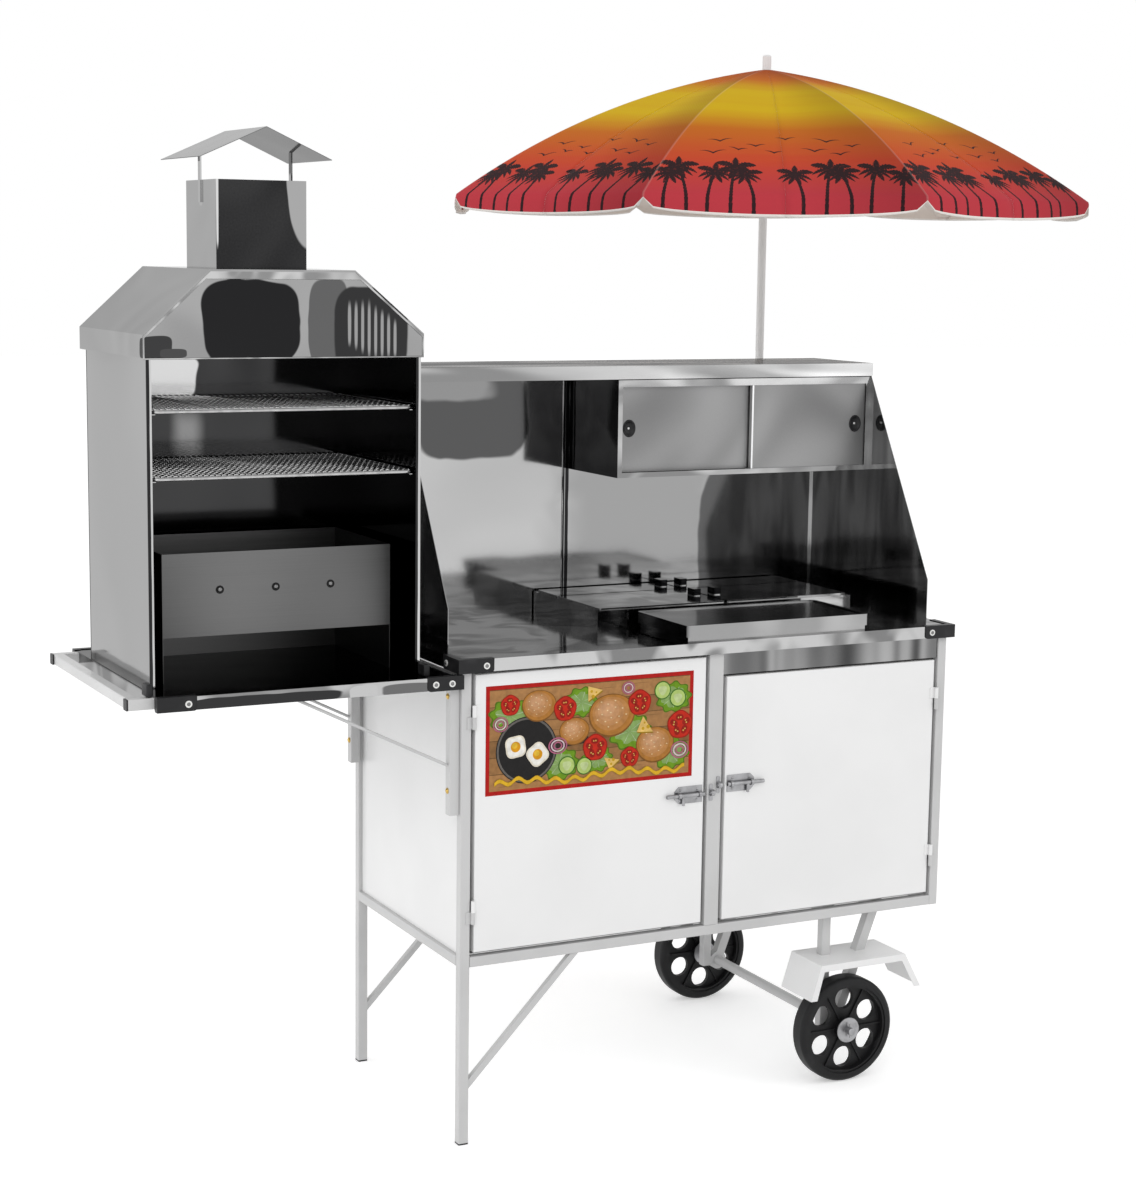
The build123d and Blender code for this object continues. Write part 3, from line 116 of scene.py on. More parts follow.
class CartParasolSettings(bpy.types.PropertyGroup):
    """Cut and print of the parasol's cloth"""

    rib_circle: length("Rib circle", "Radius of the rib tips", 0.7083)
    tip_drop: length("Tip drop", "Fall from rib pivot to rib tip", 0.279)
    sagitta: length("Rib bow", "Rise of the rib over its chord", 0.042)
    lift: length("Cloth lift", "Outer face of the cloth over the rib's middle", 0.0071)
    thickness: length("Cloth", "Thickness of the cloth", 0.0008)
    valance: length("Valance", "Drop of the hem between two ribs", 0.038)
    valance_at_rib: length("Valance at rib", "Drop of the hem at a rib", 0.009)
    uneven: factor("Uneven hem", "How much lower the hem hangs on its low side, as a share of its drop", 0.2)
    low_side: bearing("Low side", "Side to which the hem hangs lowest", -2.18)
    flutter: length("Flutter", "Height of the waves along the hem", 0.004)
    roll: factor("Roll", "Outward swing of the valance, as a share of its drop", 0.22)
    sag: length("Sag", "Fall of the cloth between two ribs", 0.006)
    eye: length("Eye", "Radius of the hole round the ferrule", 0.0101)
    flap: length("Seam allowance", "Width of the cloth that lies under the next gore", 0.064)
    droop: factor("Droop", "Fall of the seam allowance, as a share of its width", 0.12)
    folded_width: factor("Folded width", "Width of a gore when folded, as a share of its open width", 0.59)
    hem_red: swatch("Hem red", "Lowest band of the print", 0.47, 0.042, 0.056)
    low_red: swatch("Low red", "Band behind the palms", 0.54, 0.06, 0.026)
    orange: swatch("Orange", "Band over the palms", 0.53, 0.14, 0.012)
    yellow: swatch("Yellow", "Brightest band", 0.63, 0.41, 0.007)
    top_red: swatch("Top red", "Round the ferrule", 0.38, 0.07, 0.008)
    ink: swatch("Ink", "Palms and birds", 0.018, 0.012, 0.014)
    lining: swatch("Lining", "Underside of the cloth", 0.74, 0.66, 0.6)


class CartSignSettings(bpy.types.PropertyGroup):
    """Size and colours of the printed sign on the left door"""

    left: length("Left", "Left edge from the leg", 0.049)
    width: length("Width", "Width of the sign", 0.444)
    base: length("Base", "Lower edge over the floor", 0.675)
    height: length("Height", "Height of the sign", 0.209)
    border: length("Border", "Width of the border", 0.008)
    film: length("Film", "Thickness of one printed layer", 0.00005)
    border_red: swatch("Border red", "Border of the sign", 0.42, 0.008, 0.006)
    board: swatch("Board", "Planks behind the food", 0.38, 0.19, 0.07)
    tomato: swatch("Tomato", "Tomato slices", 0.5, 0.02, 0.008)
    leaf: swatch("Leaf", "Lettuce leaves", 0.14, 0.28, 0.012)
    mustard: swatch("Mustard", "Wave of mustard", 0.68, 0.4, 0.02)
    onion: swatch("Onion", "Onion rings", 0.42, 0.12, 0.2)
    bread: swatch("Bread", "Round rolls", 0.5, 0.21, 0.04)


class CartHardwareSettings(bpy.types.PropertyGroup):
    """Fasteners, wire mesh and other small pieces"""

    guard_bolt_radius: length("Guard bolt", "Radius of the ring round a guard's bolt", 0.0062)
    guard_bolt_inset: length("Guard bolt inset", "From a guard's corner to its bolt", 0.0565)
    brass_bolt_radius: length("Bracket bolt", "Radius of the bracket's bolts", 0.0058)
    latch_screw_radius: length("Latch screw", "Radius of the latch screws", 0.0028)
    firebox_bolt_radius: length("Firebox bolt", "Radius of the firebox bolts", 0.0075)
    mesh_pitch: length("Mesh pitch", "Distance between the rack's fine wires", 0.011)
    mesh_wire: length("Mesh wire", "Radius of the rack's fine wires", 0.0009)
    pull_width: length("Pull width", "Width of a sliding door's finger pull", 0.027)
    pull_height: length("Pull height", "Height of a sliding door's finger pull", 0.033)
    pull_depth: length("Pull depth", "Depth of a sliding door's finger pull", 0.0036)


class CartStageSettings(bpy.types.PropertyGroup):
    """Camera, floor and light"""

    camera_place: FloatVectorProperty(
        name="Camera place", description="From the front left leg's corner on the floor",
        default=(-1.7532, -3.8728, 1.6909), size=3, subtype="TRANSLATION",
    )
    camera_yaw: bearing("Yaw", "Turn of the view from straight ahead towards the right", 0.4706)
    camera_pitch: bearing("Pitch", "Tilt of the view down", 0.1493)
    camera_roll: bearing("Roll", "Lean of the camera", 0.0139)
    focal_pixels: number("Focal length", "In pixels of the photograph", 2341.49, subtype="PIXEL")
    picture_height: IntProperty(
        name="Picture height", description="Height of the photograph", default=1200, subtype="PIXEL"
    )
    floor: swatch("Floor", "Colour of the floor", 0.9)
    floor_lift: factor("Floor lift", "White added to the floor where it is seen, but not to its light", 0.36)
    room_light: factor("Room light", "Strength of the light from all round", 0.78)
    key_power: power("Key", "Power of the large front lamp", 50.0)
    fill_power: power("Fill", "Power of the right lamp", 30.0)
    side_power: power("Side", "Power of the left lamp", 45.0)


def operation(name):
    """A method that puts a wire and other values into a Math node."""
    return lambda self, *others: self.graph.math(name, self, *others)


def swapped(name):
    """The same with the other value first."""
    return lambda self, other: self.graph.math(name, other, self)


class Wire:
    """An output socket that arithmetic is written with."""

    def __init__(self, graph, socket):
        self.graph = graph
        self.socket = socket

    __add__ = __radd__ = operation("ADD")
    __mul__ = __rmul__ = operation("MULTIPLY")
    __sub__, __rsub__ = operation("SUBTRACT"), swapped("SUBTRACT")
    __truediv__, __rtruediv__ = operation("DIVIDE"), swapped("DIVIDE")
    __lt__, __gt__ = operation("LESS_THAN"), operation("GREATER_THAN")
    __abs__, fraction, either = operation("ABSOLUTE"), operation("FRACT"), operation("MAXIMUM")

    def math(self, name, *others):
        return self.graph.math(name, self, *others)

    def unit(self):
        """Held between 0 and 1."""
        return self.either(0.0).math("MINIMUM", 1.0)

    def smooth(self, low, high):
        """0 below low, 1 above high and an even curve between."""
        values = {"Value": self, "From Min": low, "From Max": high}
        return self.graph.add("ShaderNodeMapRange", values, interpolation_type="SMOOTHSTEP")


class Graph:
    """A node tree that nodes are added to by name."""

    def __init__(self, tree):
        self.tree = tree

    def place(self, kind, values=None, **settings):
        """Adds a node, sets or links its inputs and returns it."""
        made = self.tree.nodes.new(kind)
        for key, value in settings.items():
            setattr(made, key, value)
        for key, value in (values or {}).items():
            if isinstance(value, Wire):
                self.tree.links.new(value.socket, made.inputs[key])
            else:
                made.inputs[key].default_value = value
        return made

    def wires(self, node):
        return [Wire(self, socket) for socket in node.outputs]

    def add(self, kind, values=None, output=0, **settings):
        """Adds a node and returns one of its outputs."""
        return Wire(self, self.place(kind, values, **settings).outputs[output])

    def math(self, name, *values):
        return self.add("ShaderNodeMath", dict(enumerate(values)), operation=name)

    def vector(self, name, *values):
        return self.add("ShaderNodeVectorMath", dict(enumerate(values)), operation=name)

    def scale(self, vector, by):
        return self.add("ShaderNodeVectorMath", {0: vector, "Scale": by}, operation="SCALE")

    def mix(self, share, first, second):
        """Blends two colours."""
        return self.add("ShaderNodeMix", {0: share, 6: first, 7: second}, 2, data_type="RGBA")

    def split(self, vector):
        """The three numbers of a vector."""
        return self.wires(self.place("ShaderNodeSeparateXYZ", {0: vector}))

    def facing(self):
        """The three numbers of a face's own direction."""
        return self.split(self.add("ShaderNodeTexCoord", output="Normal"))

    def noise(self, vector, scale, detail=2.0, distortion=0.0):
        values = {"Vector": vector, "Scale": scale, "Detail": detail, "Distortion": distortion}
        return self.add("ShaderNodeTexNoise", values)

    def join(self, *parts):
        """Several geometries as one."""
        joined = self.place("GeometryNodeJoinGeometry")
        for part in parts:
            self.tree.links.new(part.socket, joined.inputs["Geometry"])
        return Wire(self, joined.outputs[0])


def socket_type(default):
    """The type of socket for a default value, or for the name of a type."""
    if isinstance(default, str):
        return f"NodeSocket{default}"
    if isinstance(default, (int, float)):
        return "NodeSocketInt" if isinstance(default, int) else "NodeSocketFloat"
    return "NodeSocketVector" if len(default) == 3 else "NodeSocketColor"


def group_tree(fill, kind, inputs, outputs):
    """The node group that a function wires, built once."""
    tree = bpy.data.node_groups.get(fill.__name__)
    if tree:
        return tree
    tree = bpy.data.node_groups.new(fill.__name__, kind)
    for in_out, sockets in (("INPUT", inputs), ("OUTPUT", outputs)):
        for label, default in sockets.items():
            made = tree.interface.new_socket(label, in_out=in_out, socket_type=socket_type(default))
            if not isinstance(default, str):
                made.default_value = default
    graph = Graph(tree)
    results = fill(graph, *graph.wires(graph.place("NodeGroupInput"))[:len(inputs)])
    graph.place("NodeGroupOutput", dict(enumerate(results if isinstance(results, tuple) else (results,))))
    return tree


def shader_group(inputs, **outputs):
    """Turns a function that wires a group into one that adds the group to a graph and gives its outputs."""

    def wrap(fill):
        def use(graph, *values):
            tree = group_tree(fill, "ShaderNodeTree", inputs, outputs)
            results = graph.wires(graph.place("ShaderNodeGroup", dict(enumerate(values)), node_tree=tree))
            return results if len(results) > 1 else results[0]

        return use

    return wrap


def geometry_group(inputs):
    """Turns a function that wires a group into one that gives the group."""
    return lambda fill: lambda: group_tree(fill, "GeometryNodeTree", inputs, {"Geometry": "Geometry"})


@shader_group(
    {"Coordinates": ORIGIN, "Colour": (1, 1, 1, 1), "Clouds": 0.05},
    Colour="Color", Roughness="Float", Height="Float",
)
def paint_film(graph, place, colour, depth):
    """Sprayed paint: faint clouds in the colour, uneven gloss and orange peel."""
    clouds = graph.noise(place, 4.0, 3.0).smooth(0.35, 0.7)
    gloss = graph.noise(place, 35.0) * 0.14 + 0.26
    return graph.scale(colour, 1.0 - clouds * depth), gloss, graph.noise(place, 700.0, 1.0)


@shader_group(dict.fromkeys(SIDES, 0.5), Value="Float")
def facing_mix(graph, left, right, front, back, top, under):
    """A number chosen by the side that a face looks to."""
    shares = []
    for axis, (low, high) in zip(graph.facing(), ((left, right), (front, back), (under, top))):
        side = axis > 0.0
        shares.append(axis * axis * (low * (1.0 - side) + high * side))
    return sum(shares)


@shader_group(
    {"Coordinates": ORIGIN, "Stretch": (1, 1, 1), "Shift": ORIGIN, "Size": 0.3, "Edge": 0.05}, Tone="Float"
)
def room_mirror(graph, place, stretch, shift, size, edge):
    """Large soft-edged patches, as a buckled mirror sheet shows of the room."""
    warped = graph.noise(graph.vector("MULTIPLY_ADD", place, stretch, shift), 1.0 / size, 1.0, 1.4)
    return warped.smooth(0.5 - edge, 0.5 + edge)


@shader_group({"Coordinates": ORIGIN, "Low": ORIGIN, "High": (1, 1, 1)}, Mask="Float")
def inside_box(graph, place, low, high):
    """1 inside a box given by its two corners, and 0 outside."""
    axes = zip(graph.split(place), graph.split(low), graph.split(high))
    return math.prod((here > least) * (here < most) for here, least, most in axes)


@shader_group(
    {"Coordinates": ORIGIN, "Centre": ORIGIN, "Radius": (0.1, 0.1, 0.1), "Edge": 0.05, "Wobble": 0.5},
    Mask="Float",
)
def mirror_spot(graph, place, centre, radius, edge, wobble):
    """1 inside a rounded block with an uneven outline, such as a thing that a mirror shows, and 0 outside."""
    shares = graph.split(graph.vector("DIVIDE", graph.vector("SUBTRACT", place, centre), radius))
    reach = sum((share * share).math("POWER", 2.0) for share in shares).math("POWER", 0.25)
    reach = reach + (graph.noise(place, 14.0, 1.0, 0.5) - 0.5) * wobble
    return 1.0 - reach.smooth(1.0 - edge, 1.0 + edge)


@shader_group({"Coordinates": ORIGIN, "Stretch": (1, 1, 1)}, Grain="Float")
def brush_grain(graph, place, stretch):
    """Fine drawn lines, long along the axis whose stretch is small."""
    return graph.noise(graph.vector("MULTIPLY", place, stretch), 1.0, 4.0)


@shader_group({"X": 0.0, "Y": 0.0, "Foot": 0.0, "Height": 0.18, "Lean": 0.02, "Reach": 0.06}, Mask="Float")
def palm(graph, x, y, foot, height, lean, reach):
    """A palm's outline: a bowed trunk and a crown of drooping, cut fronds."""
    x = x - foot
    rise = y / height
    off_trunk = abs(x - lean * rise * rise)
    rings = (y * 90.0).fraction() * 0.0009
    trunk = (off_trunk < 0.0034 - rise * 0.0013 + rings) * (rise < 1.0)
    across = x - lean
    up = y - height
    out = (across * across + up * up).math("SQRT")
    lifted = up + across * across * 0.85 / reach
    fronds = 9
    turn = lifted.math("ARCTAN2", across) * (fronds / math.tau) + 0.3
    beside = abs(turn.fraction() - 0.5) * out * (math.tau / fronds)
    share = out / reach
    cut = (share * 8.0).fraction() * 0.5 + 0.6
    blade = reach * share * (1.0 - share) * 0.62 * cut + 0.0008
    crown = (beside < blade) * (share < 1.0)
    heart = out < 0.007
    return trunk.either(crown).either(heart)


@shader_group({"X": 0.0, "Y": 0.0, "Span": 0.02, "Tilt": 0.1}, Mask="Float")
def bird(graph, x, y, span, tilt):
    """A far bird: two bowed wings that thin to their tips."""
    share = abs(x) / span
    wing = span * (share * 1.1 - share * share * 0.75)
    return (abs(y - x * tilt - wing) < (1.0 - share) * 0.0032) * (share < 1.0)


def as_material(wire_up):
    """Turns a function that wires a finish into one that makes a material by name.

    The function gives the Principled shader's inputs and where needed a bump's height, strength and distance.
    """

    def make(name, *values, **settings):
        material = bpy.data.materials.new(name)
        material.use_nodes = True
        material.node_tree.nodes.clear()
        graph = Graph(material.node_tree)
        place = graph.add("ShaderNodeTexCoord", output="Object")
        inputs, *bump = wire_up(graph, place, *values, **settings)
        if bump:
            bump = dict(zip(("Height", "Strength", "Distance"), bump))
            inputs = {**inputs, "Normal": graph.add("ShaderNodeBump", bump)}
        graph.place("ShaderNodeOutputMaterial", {"Surface": graph.add("ShaderNodeBsdfPrincipled", inputs)})
        return material

    return make


def opaque(colour):
    return (*colour, 1.0)


def grey(tone):
    return (tone,) * 3


def darker(colour, share):
    return [part * (1 - share) for part in colour]


def lighter(colour, share):
    return [part + (1 - part) * share for part in colour]


@as_material
def satin_paint(graph, place, colour, clouds):
    tint, gloss, peel = paint_film(graph, place, opaque(colour), clouds)
    return {"Base Color": tint, "Roughness": gloss, "Coat Weight": 0.15}, peel, 0.06, 0.0004


@as_material
def polished_steel(
    graph, place, tones, ripple, size=0.3, stretch=(1, 1, 1), shift=ORIGIN, edge=0.05, inside=None, spots=(),
    black_above=None, roughness=0.09, top_mirror=1.0,
):
    """Mirror steel whose reflections are painted into its colour. Tones give each side's painted lightness and
    ripple the strength of the painted reflection patches on it.

    Inside is a box in which painted shade blackens the steel. Each spot, a patch of painted reflection and
    shade, has a centre, radii, a lightness, an edge and where needed a wobble, and stays off faces that look to
    the back. Top_mirror is the share of mirror finish on faces that look up.
    """
    colours = bpy.context.scene.cart_finish
    # The last of these is the lightness of the painted shade inside the box
    grain_contrast, grain_gloss, inside_shade = 0.03, 0.06, 0.07
    # Painted reflections: soft patches that lighten and darken the steel's colour
    patches = room_mirror(graph, place, stretch, shift, size, edge)
    amount = facing_mix(graph, *[ripple.get(side, 0.1) for side in SIDES])
    grain = brush_grain(graph, place, grey(300))
    # Painted light: each side gets its own tone by the way it faces, plus the painted reflection patches
    value = facing_mix(graph, *tones) + (patches - 0.5) * amount + (grain - 0.5) * grain_contrast
    # Painted shade blackens the steel inside the box
    if inside:
        within = inside_box(graph, place, *inside)
        value = value * (1.0 - within) + within * patches * inside_shade
    # Painted reflections, highlights and shade lines, one spot at a time
    forward = graph.facing()[1] < 0.5
    for centre, radius, lightness, *outline in spots:
        mask = forward * mirror_spot(graph, place, from_leg(*centre), radius, *outline)
        value = value * (1.0 - mask) + mask * lightness
    if black_above is not None:
        value = value * (graph.split(place)[2] < black_above)
    inputs = {
        "Base Color": graph.mix(value.unit(), opaque(colours.steel_dark), opaque(colours.steel_light)),
        "Metallic": 1.0, "Roughness": grain * grain_gloss + (roughness - grain_gloss / 2),
        "Specular Tint": opaque(grey(EDGE_TINT)),
    }
    if top_mirror < 1.0:
        mirrored = facing_mix(graph, *[top_mirror if side == "Top" else 1.0 for side in SIDES])
        inputs.update({"Metallic": mirrored, "Specular IOR Level": 0.0})
    return inputs, graph.noise(place, 5.0, 1.0), 0.25, 0.006


@as_material
def sooted_and_shaded_steel(graph, place, low, high):
    """Satin sheet with drawn lines and a slow change of tone, sooted inside a box, and darkened by painted
    shade on faces that look to the sides, up, down and partly to the back.
    """
    slow = graph.noise(place, 2.0, 1.0).smooth(0.3, 0.7)
    grain = brush_grain(graph, place, (4, 400, 400))
    colour = graph.mix((slow + (grain - 0.5) * 0.25).unit(), opaque(grey(0.06)), opaque(grey(0.17)))
    colour = graph.mix(inside_box(graph, place, low, high), colour, opaque(grey(0.01)))
    # Painted shade: every face but the front is darkened by the way it looks
    colour = graph.mix(facing_mix(graph, 0.8, 0.8, 0.0, 0.5, 0.75, 0.9), colour, opaque(grey(0.012)))
    return {"Base Color": colour, "Metallic": 1.0, "Roughness": grain * 0.2 + 0.28}, grain, 0.08, 0.0005


@as_material
def moulded_black(graph, place, colour, roughness, grain_scale):
    """Moulded plastic or rubber with a fine grain and rubbed, paler spots."""
    rubbed = graph.noise(place, 18.0, 3.0).smooth(0.5, 0.8)
    tint = graph.mix(rubbed, opaque(colour), opaque([part * 2.2 + 0.006 for part in colour]))
    inputs = {"Base Color": tint, "Roughness": rubbed * 0.12 + roughness, "Specular IOR Level": 0.25}
    return inputs, graph.noise(place, grain_scale), 0.25, 0.0006


@as_material
def plated_metal(graph, place, colour, roughness):
    """Plated or bare metal with cloudy gloss and darker clouds in its tone."""
    clouds = graph.noise(place, 60.0, 3.0)
    tint = graph.mix(clouds.smooth(0.35, 0.75), opaque(colour), opaque([part * 0.72 for part in colour]))
    inputs = {"Base Color": tint, "Metallic": 1.0, "Roughness": clouds * 0.2 + (roughness - 0.1)}
    return inputs, graph.noise(place, 400.0, 1.0), 0.1, 0.0004


# Each palm's foot, height, lean and reach, and each bird's place, height, span and tilt
PALMS = (
    (-0.235, 0.105, 0.014, 0.038), (-0.19, 0.128, -0.014, 0.042), (-0.15, 0.11, 0.018, 0.039),
    (-0.105, 0.13, 0.012, 0.042), (-0.06, 0.104, -0.016, 0.037), (0.035, 0.106, -0.014, 0.038),
    (0.08, 0.128, 0.012, 0.042), (0.128, 0.112, -0.016, 0.039), (0.165, 0.126, 0.016, 0.041),
    (0.225, 0.104, 0.01, 0.037),
)
BIRDS = (
    (-0.135, 0.15, 0.028, 0.12), (-0.085, 0.168, 0.02, -0.15), (-0.12, 0.202, 0.026, 0.2),
    (-0.05, 0.186, 0.021, 0.05), (-0.015, 0.158, 0.019, -0.1), (0.065, 0.165, 0.028, -0.1),
    (0.115, 0.15, 0.022, 0.15), (0.09, 0.206, 0.03, -0.2), (0.14, 0.184, 0.019, 0.1),
    (0.01, 0.22, 0.022, 0.05),
)
PRINT_HEIGHT = 0.78


def print_place(graph):
    return graph.add("ShaderNodeUVMap", uv_map="print")


def weave(graph, place):
    """The threads of plain cloth."""
    across, along, _ = graph.split(graph.vector("MULTIPLY", place, (900.0, 900.0, 1.0)))
    return across.math("SINE") * along.math("SINE")


@as_material
def printed_cloth(graph, _):
    """Sunset bands with palms along the hem and birds above, on plain weave, with painted shade towards each
    panel's right rib and a painted highlight along each rib.
    """
    cut = bpy.context.scene.cart_parasol
    place = print_place(graph)
    x, y, _ = graph.split(place)
    ramp = graph.place("ShaderNodeValToRGB", {0: y / PRINT_HEIGHT})
    bands = (
        (0.0, cut.hem_red), (0.16, cut.low_red), (0.34, cut.orange), (0.47, cut.yellow), (0.65, cut.yellow),
        (0.78, cut.orange), (0.9, cut.top_red),
    )
    elements = ramp.color_ramp.elements
    while len(elements) < len(bands):
        elements.new(0.5)
    for element, (place_up, colour) in zip(elements, bands):
        element.position = place_up
        element.color = opaque(colour)
    streak = graph.noise(graph.vector("MULTIPLY", place, (2.5, 30.0, 1.0)), 1.0, 3.0)
    sky = graph.mix((streak - 0.42) * 0.5 * (y > 0.1), graph.wires(ramp)[0], opaque(cut.orange))
    over_hem = y + cut.valance
    masks = [palm(graph, x, over_hem, *sizes) for sizes in PALMS]
    masks += [bird(graph, x - over, y - height, *sizes) for over, height, *sizes in BIRDS]
    worn = graph.noise(place, 140.0).smooth(0.25, 0.45) * 0.16 + 0.82
    colour = graph.mix(reduce(Wire.either, masks) * worn, sky, opaque(cut.ink))
    # Painted shade: each panel darkens towards its right rib
    lean = (x / (0.28 - y * 0.35)).smooth(-0.1, 1.0)
    shaded = graph.scale(colour, 1.0 - lean * 0.3)
    # Painted highlight: a thin light line in the lining's colour along the crease over each rib
    seam = graph.add("ShaderNodeAttribute", attribute_name="seam", output="Fac")
    rib_highlight = 1.0 - seam.smooth(0.0012, 0.0035)
    threads = weave(graph, place)
    inputs = {
        "Base Color": graph.mix(rib_highlight * 0.1, shaded, opaque(cut.lining)),
        "Roughness": threads * 0.06 + 0.75, "Specular IOR Level": 0.08,
    }
    return inputs, threads, 0.12, 0.0003


@as_material
def plain_cloth(graph, _, colour):
    """Undyed side of the cloth, or its tape, in plain weave."""
    place = print_place(graph)
    threads = weave(graph, place)
    tint = graph.mix(graph.noise(place, 9.0, 3.0) * 0.4, opaque(colour), opaque(darker(colour, 0.2)))
    return {"Base Color": tint, "Roughness": threads * 0.05 + 0.7}, threads, 0.15, 0.0003


@as_material
def printed_vinyl(graph, place):
    """The sign's film: inks kept on the mesh, with a printed grain."""
    mottle = graph.noise(place, 90.0, 4.0)
    tint = graph.scale(graph.add("ShaderNodeVertexColor", layer_name="ink"), mottle * 0.7 + 0.62)
    inputs = {"Base Color": tint, "Roughness": mottle * 0.15 + 0.35, "Specular IOR Level": 0.15}
    return inputs, mottle, 0.05, 0.0003


def seen(graph):
    """1 for rays that show a thing to the eye, directly or in a mirror, and 0 for those that light it."""
    path = graph.place("ShaderNodeLightPath")
    rays = [Wire(graph, path.outputs[f"Is {kind} Ray"]) for kind in ("Camera", "Glossy", "Transmission")]
    return reduce(Wire.either, rays)


@as_material
def floor_paint(graph, _, colour, lift):
    """Matt paint with white added where it is seen."""
    return {
        "Base Color": opaque(colour), "Roughness": 0.9, "Specular IOR Level": 0.0,
        "Emission Color": graph.mix(seen(graph), (0, 0, 0, 1), (1, 1, 1, 1)), "Emission Strength": lift,
    },


def link_object(name, data):
    """Adds an object to the scene."""
    made = bpy.data.objects.new(name, data)
    bpy.context.scene.collection.objects.link(made)
    return made


def hand_over(piece, body):
    """Turns a piece's modifiers into its plain mesh and lets it move with a body."""
    if len(piece.modifiers):
        evaluated = piece.evaluated_get(bpy.context.evaluated_depsgraph_get())
        mesh = bpy.data.meshes.new_from_object(evaluated)
        piece.modifiers.clear()
        piece.data = mesh
    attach(piece, body)


def new_piece(name, mesh, body, tree=None, values=None):
    """Adds a mesh, or what a geometry tree makes of it, as a piece that moves with a body."""
    piece = link_object(name, mesh)
    if tree:
        modifier = piece.modifiers.new("tree", "NODES")
        modifier.node_group = tree
        for item in tree.interface.items_tree:
            if item.item_type == "SOCKET" and item.in_out == "INPUT" and item.name in values:
                modifier[item.identifier] = values[item.name]
    hand_over(piece, body)


def mesh_from(name, build, *materials):
    """A mesh with its materials, made by a function that fills a bmesh."""
    shape = bmesh.new()
    build(shape)
    mesh = bpy.data.meshes.new(name)
    shape.to_mesh(mesh)
    shape.free()
    for material in materials:
        mesh.materials.append(material)
    return mesh


def shade_smooth(mesh):
    mesh.polygons.foreach_set("use_smooth", [True] * len(mesh.polygons))


def quads(loop, following):
    """The corners of each face between two closed loops: two of the first, then two of the second."""
    return list(zip(loop, loop[1:] + loop[:1], following[1:] + following[:1], following))


@geometry_group({
    "Geometry": "Geometry", "Ring Radius": 0.006, "Ring Height": 0.001, "Head Radius": 0.004,
    "Head Height": 0.003, "Ring": "Material", "Head": "Material",
})
def fastener_heads(graph, points, ring_radius, rise, radius, height, ring_finish, head_finish):
    """A ring with a domed head on each point, turned to the point's own facing."""
    ring = graph.add(
        "GeometryNodeMeshCylinder", {"Vertices": 24, "Radius": ring_radius, "Depth": rise * 2.0}
    )
    dome = graph.add("GeometryNodeMeshUVSphere", {"Segments": 20, "Rings": 10, "Radius": 1.0})
    dome = graph.add("GeometryNodeTransform", {
        "Geometry": dome, "Translation": graph.add("ShaderNodeCombineXYZ", {2: rise}),
        "Scale": graph.add("ShaderNodeCombineXYZ", {0: radius, 1: radius, 2: height}),
    })
    dome = graph.add("GeometryNodeSetShadeSmooth", {"Geometry": dome})
    dome = graph.add(
        "GeometryNodeStoreNamedAttribute", {"Geometry": dome, "Name": "is_head", "Value": True},
        data_type="BOOLEAN", domain="FACE",
    )
    facing = graph.add("GeometryNodeInputNamedAttribute", {"Name": "facing"}, data_type="FLOAT_VECTOR")
    placed = graph.add("GeometryNodeInstanceOnPoints", {
        "Points": points, "Instance": graph.join(ring, dome),
        "Rotation": graph.add("FunctionNodeAlignRotationToVector", {"Vector": facing}, axis="Z"),
    })
    real = graph.add("GeometryNodeRealizeInstances", {"Geometry": placed})
    ringed = graph.add("GeometryNodeSetMaterial", {"Geometry": real, "Material": ring_finish})
    is_head = graph.add("GeometryNodeInputNamedAttribute", {"Name": "is_head"}, data_type="BOOLEAN")
    headed = {"Geometry": ringed, "Selection": is_head, "Material": head_finish}
    return graph.add("GeometryNodeSetMaterial", headed)


@geometry_group({
    "Geometry": "Geometry", "Centre": ORIGIN, "Width": 0.4, "Depth": 0.3, "Across": 10, "Along": 10,
    "Wire": 0.001, "Material": "Material",
})
def wire_mesh(graph, _, centre, width, depth, across, along, radius, material):
    """A level mesh of thin wires in both directions, centred on a place."""
    quarter = math.pi / 2
    rows = (
        (width, depth, across, (quarter, 0, 0), 0, 1.0), (depth, width, along, (0, quarter, 0), 1, -1.0)
    )
    layers = []
    for spread, run, count, turned, axis, side in rows:
        half, height = spread * 0.5, radius * side
        ends = {
            "Count": count, "Start Location": graph.add("ShaderNodeCombineXYZ", {axis: half * -1.0, 2: height}),
            "Offset": graph.add("ShaderNodeCombineXYZ", {axis: half, 2: height}),
        }
        line = graph.add("GeometryNodeMeshLine", ends, mode="END_POINTS")
        rod = graph.add("GeometryNodeMeshCylinder", {"Vertices": 8, "Radius": radius, "Depth": run})
        rod = graph.add("GeometryNodeTransform", {"Geometry": rod, "Rotation": turned})
        layers.append(graph.add("GeometryNodeInstanceOnPoints", {"Points": line, "Instance": rod}))
    moved = graph.add("GeometryNodeTransform", {"Geometry": graph.join(*layers), "Translation": centre})
    real = graph.add("GeometryNodeRealizeInstances", {"Geometry": moved})
    return graph.add("GeometryNodeSetMaterial", {"Geometry": real, "Material": material})


def point_mesh(name, points):
    """A mesh of single points, each with the direction that it faces."""
    mesh = bpy.data.meshes.new(name)
    mesh.from_pydata([place for place, _ in points], [], [])
    facing = mesh.attributes.new("facing", "FLOAT_VECTOR", "POINT")
    for row, (_, direction) in zip(facing.data, points):
        row.vector = direction
    return mesh


def paint_nodes(material, *nodes):
    for node in nodes:
        slots = frame["nodes"][node].data.materials
        slots.clear()
        slots.append(material)
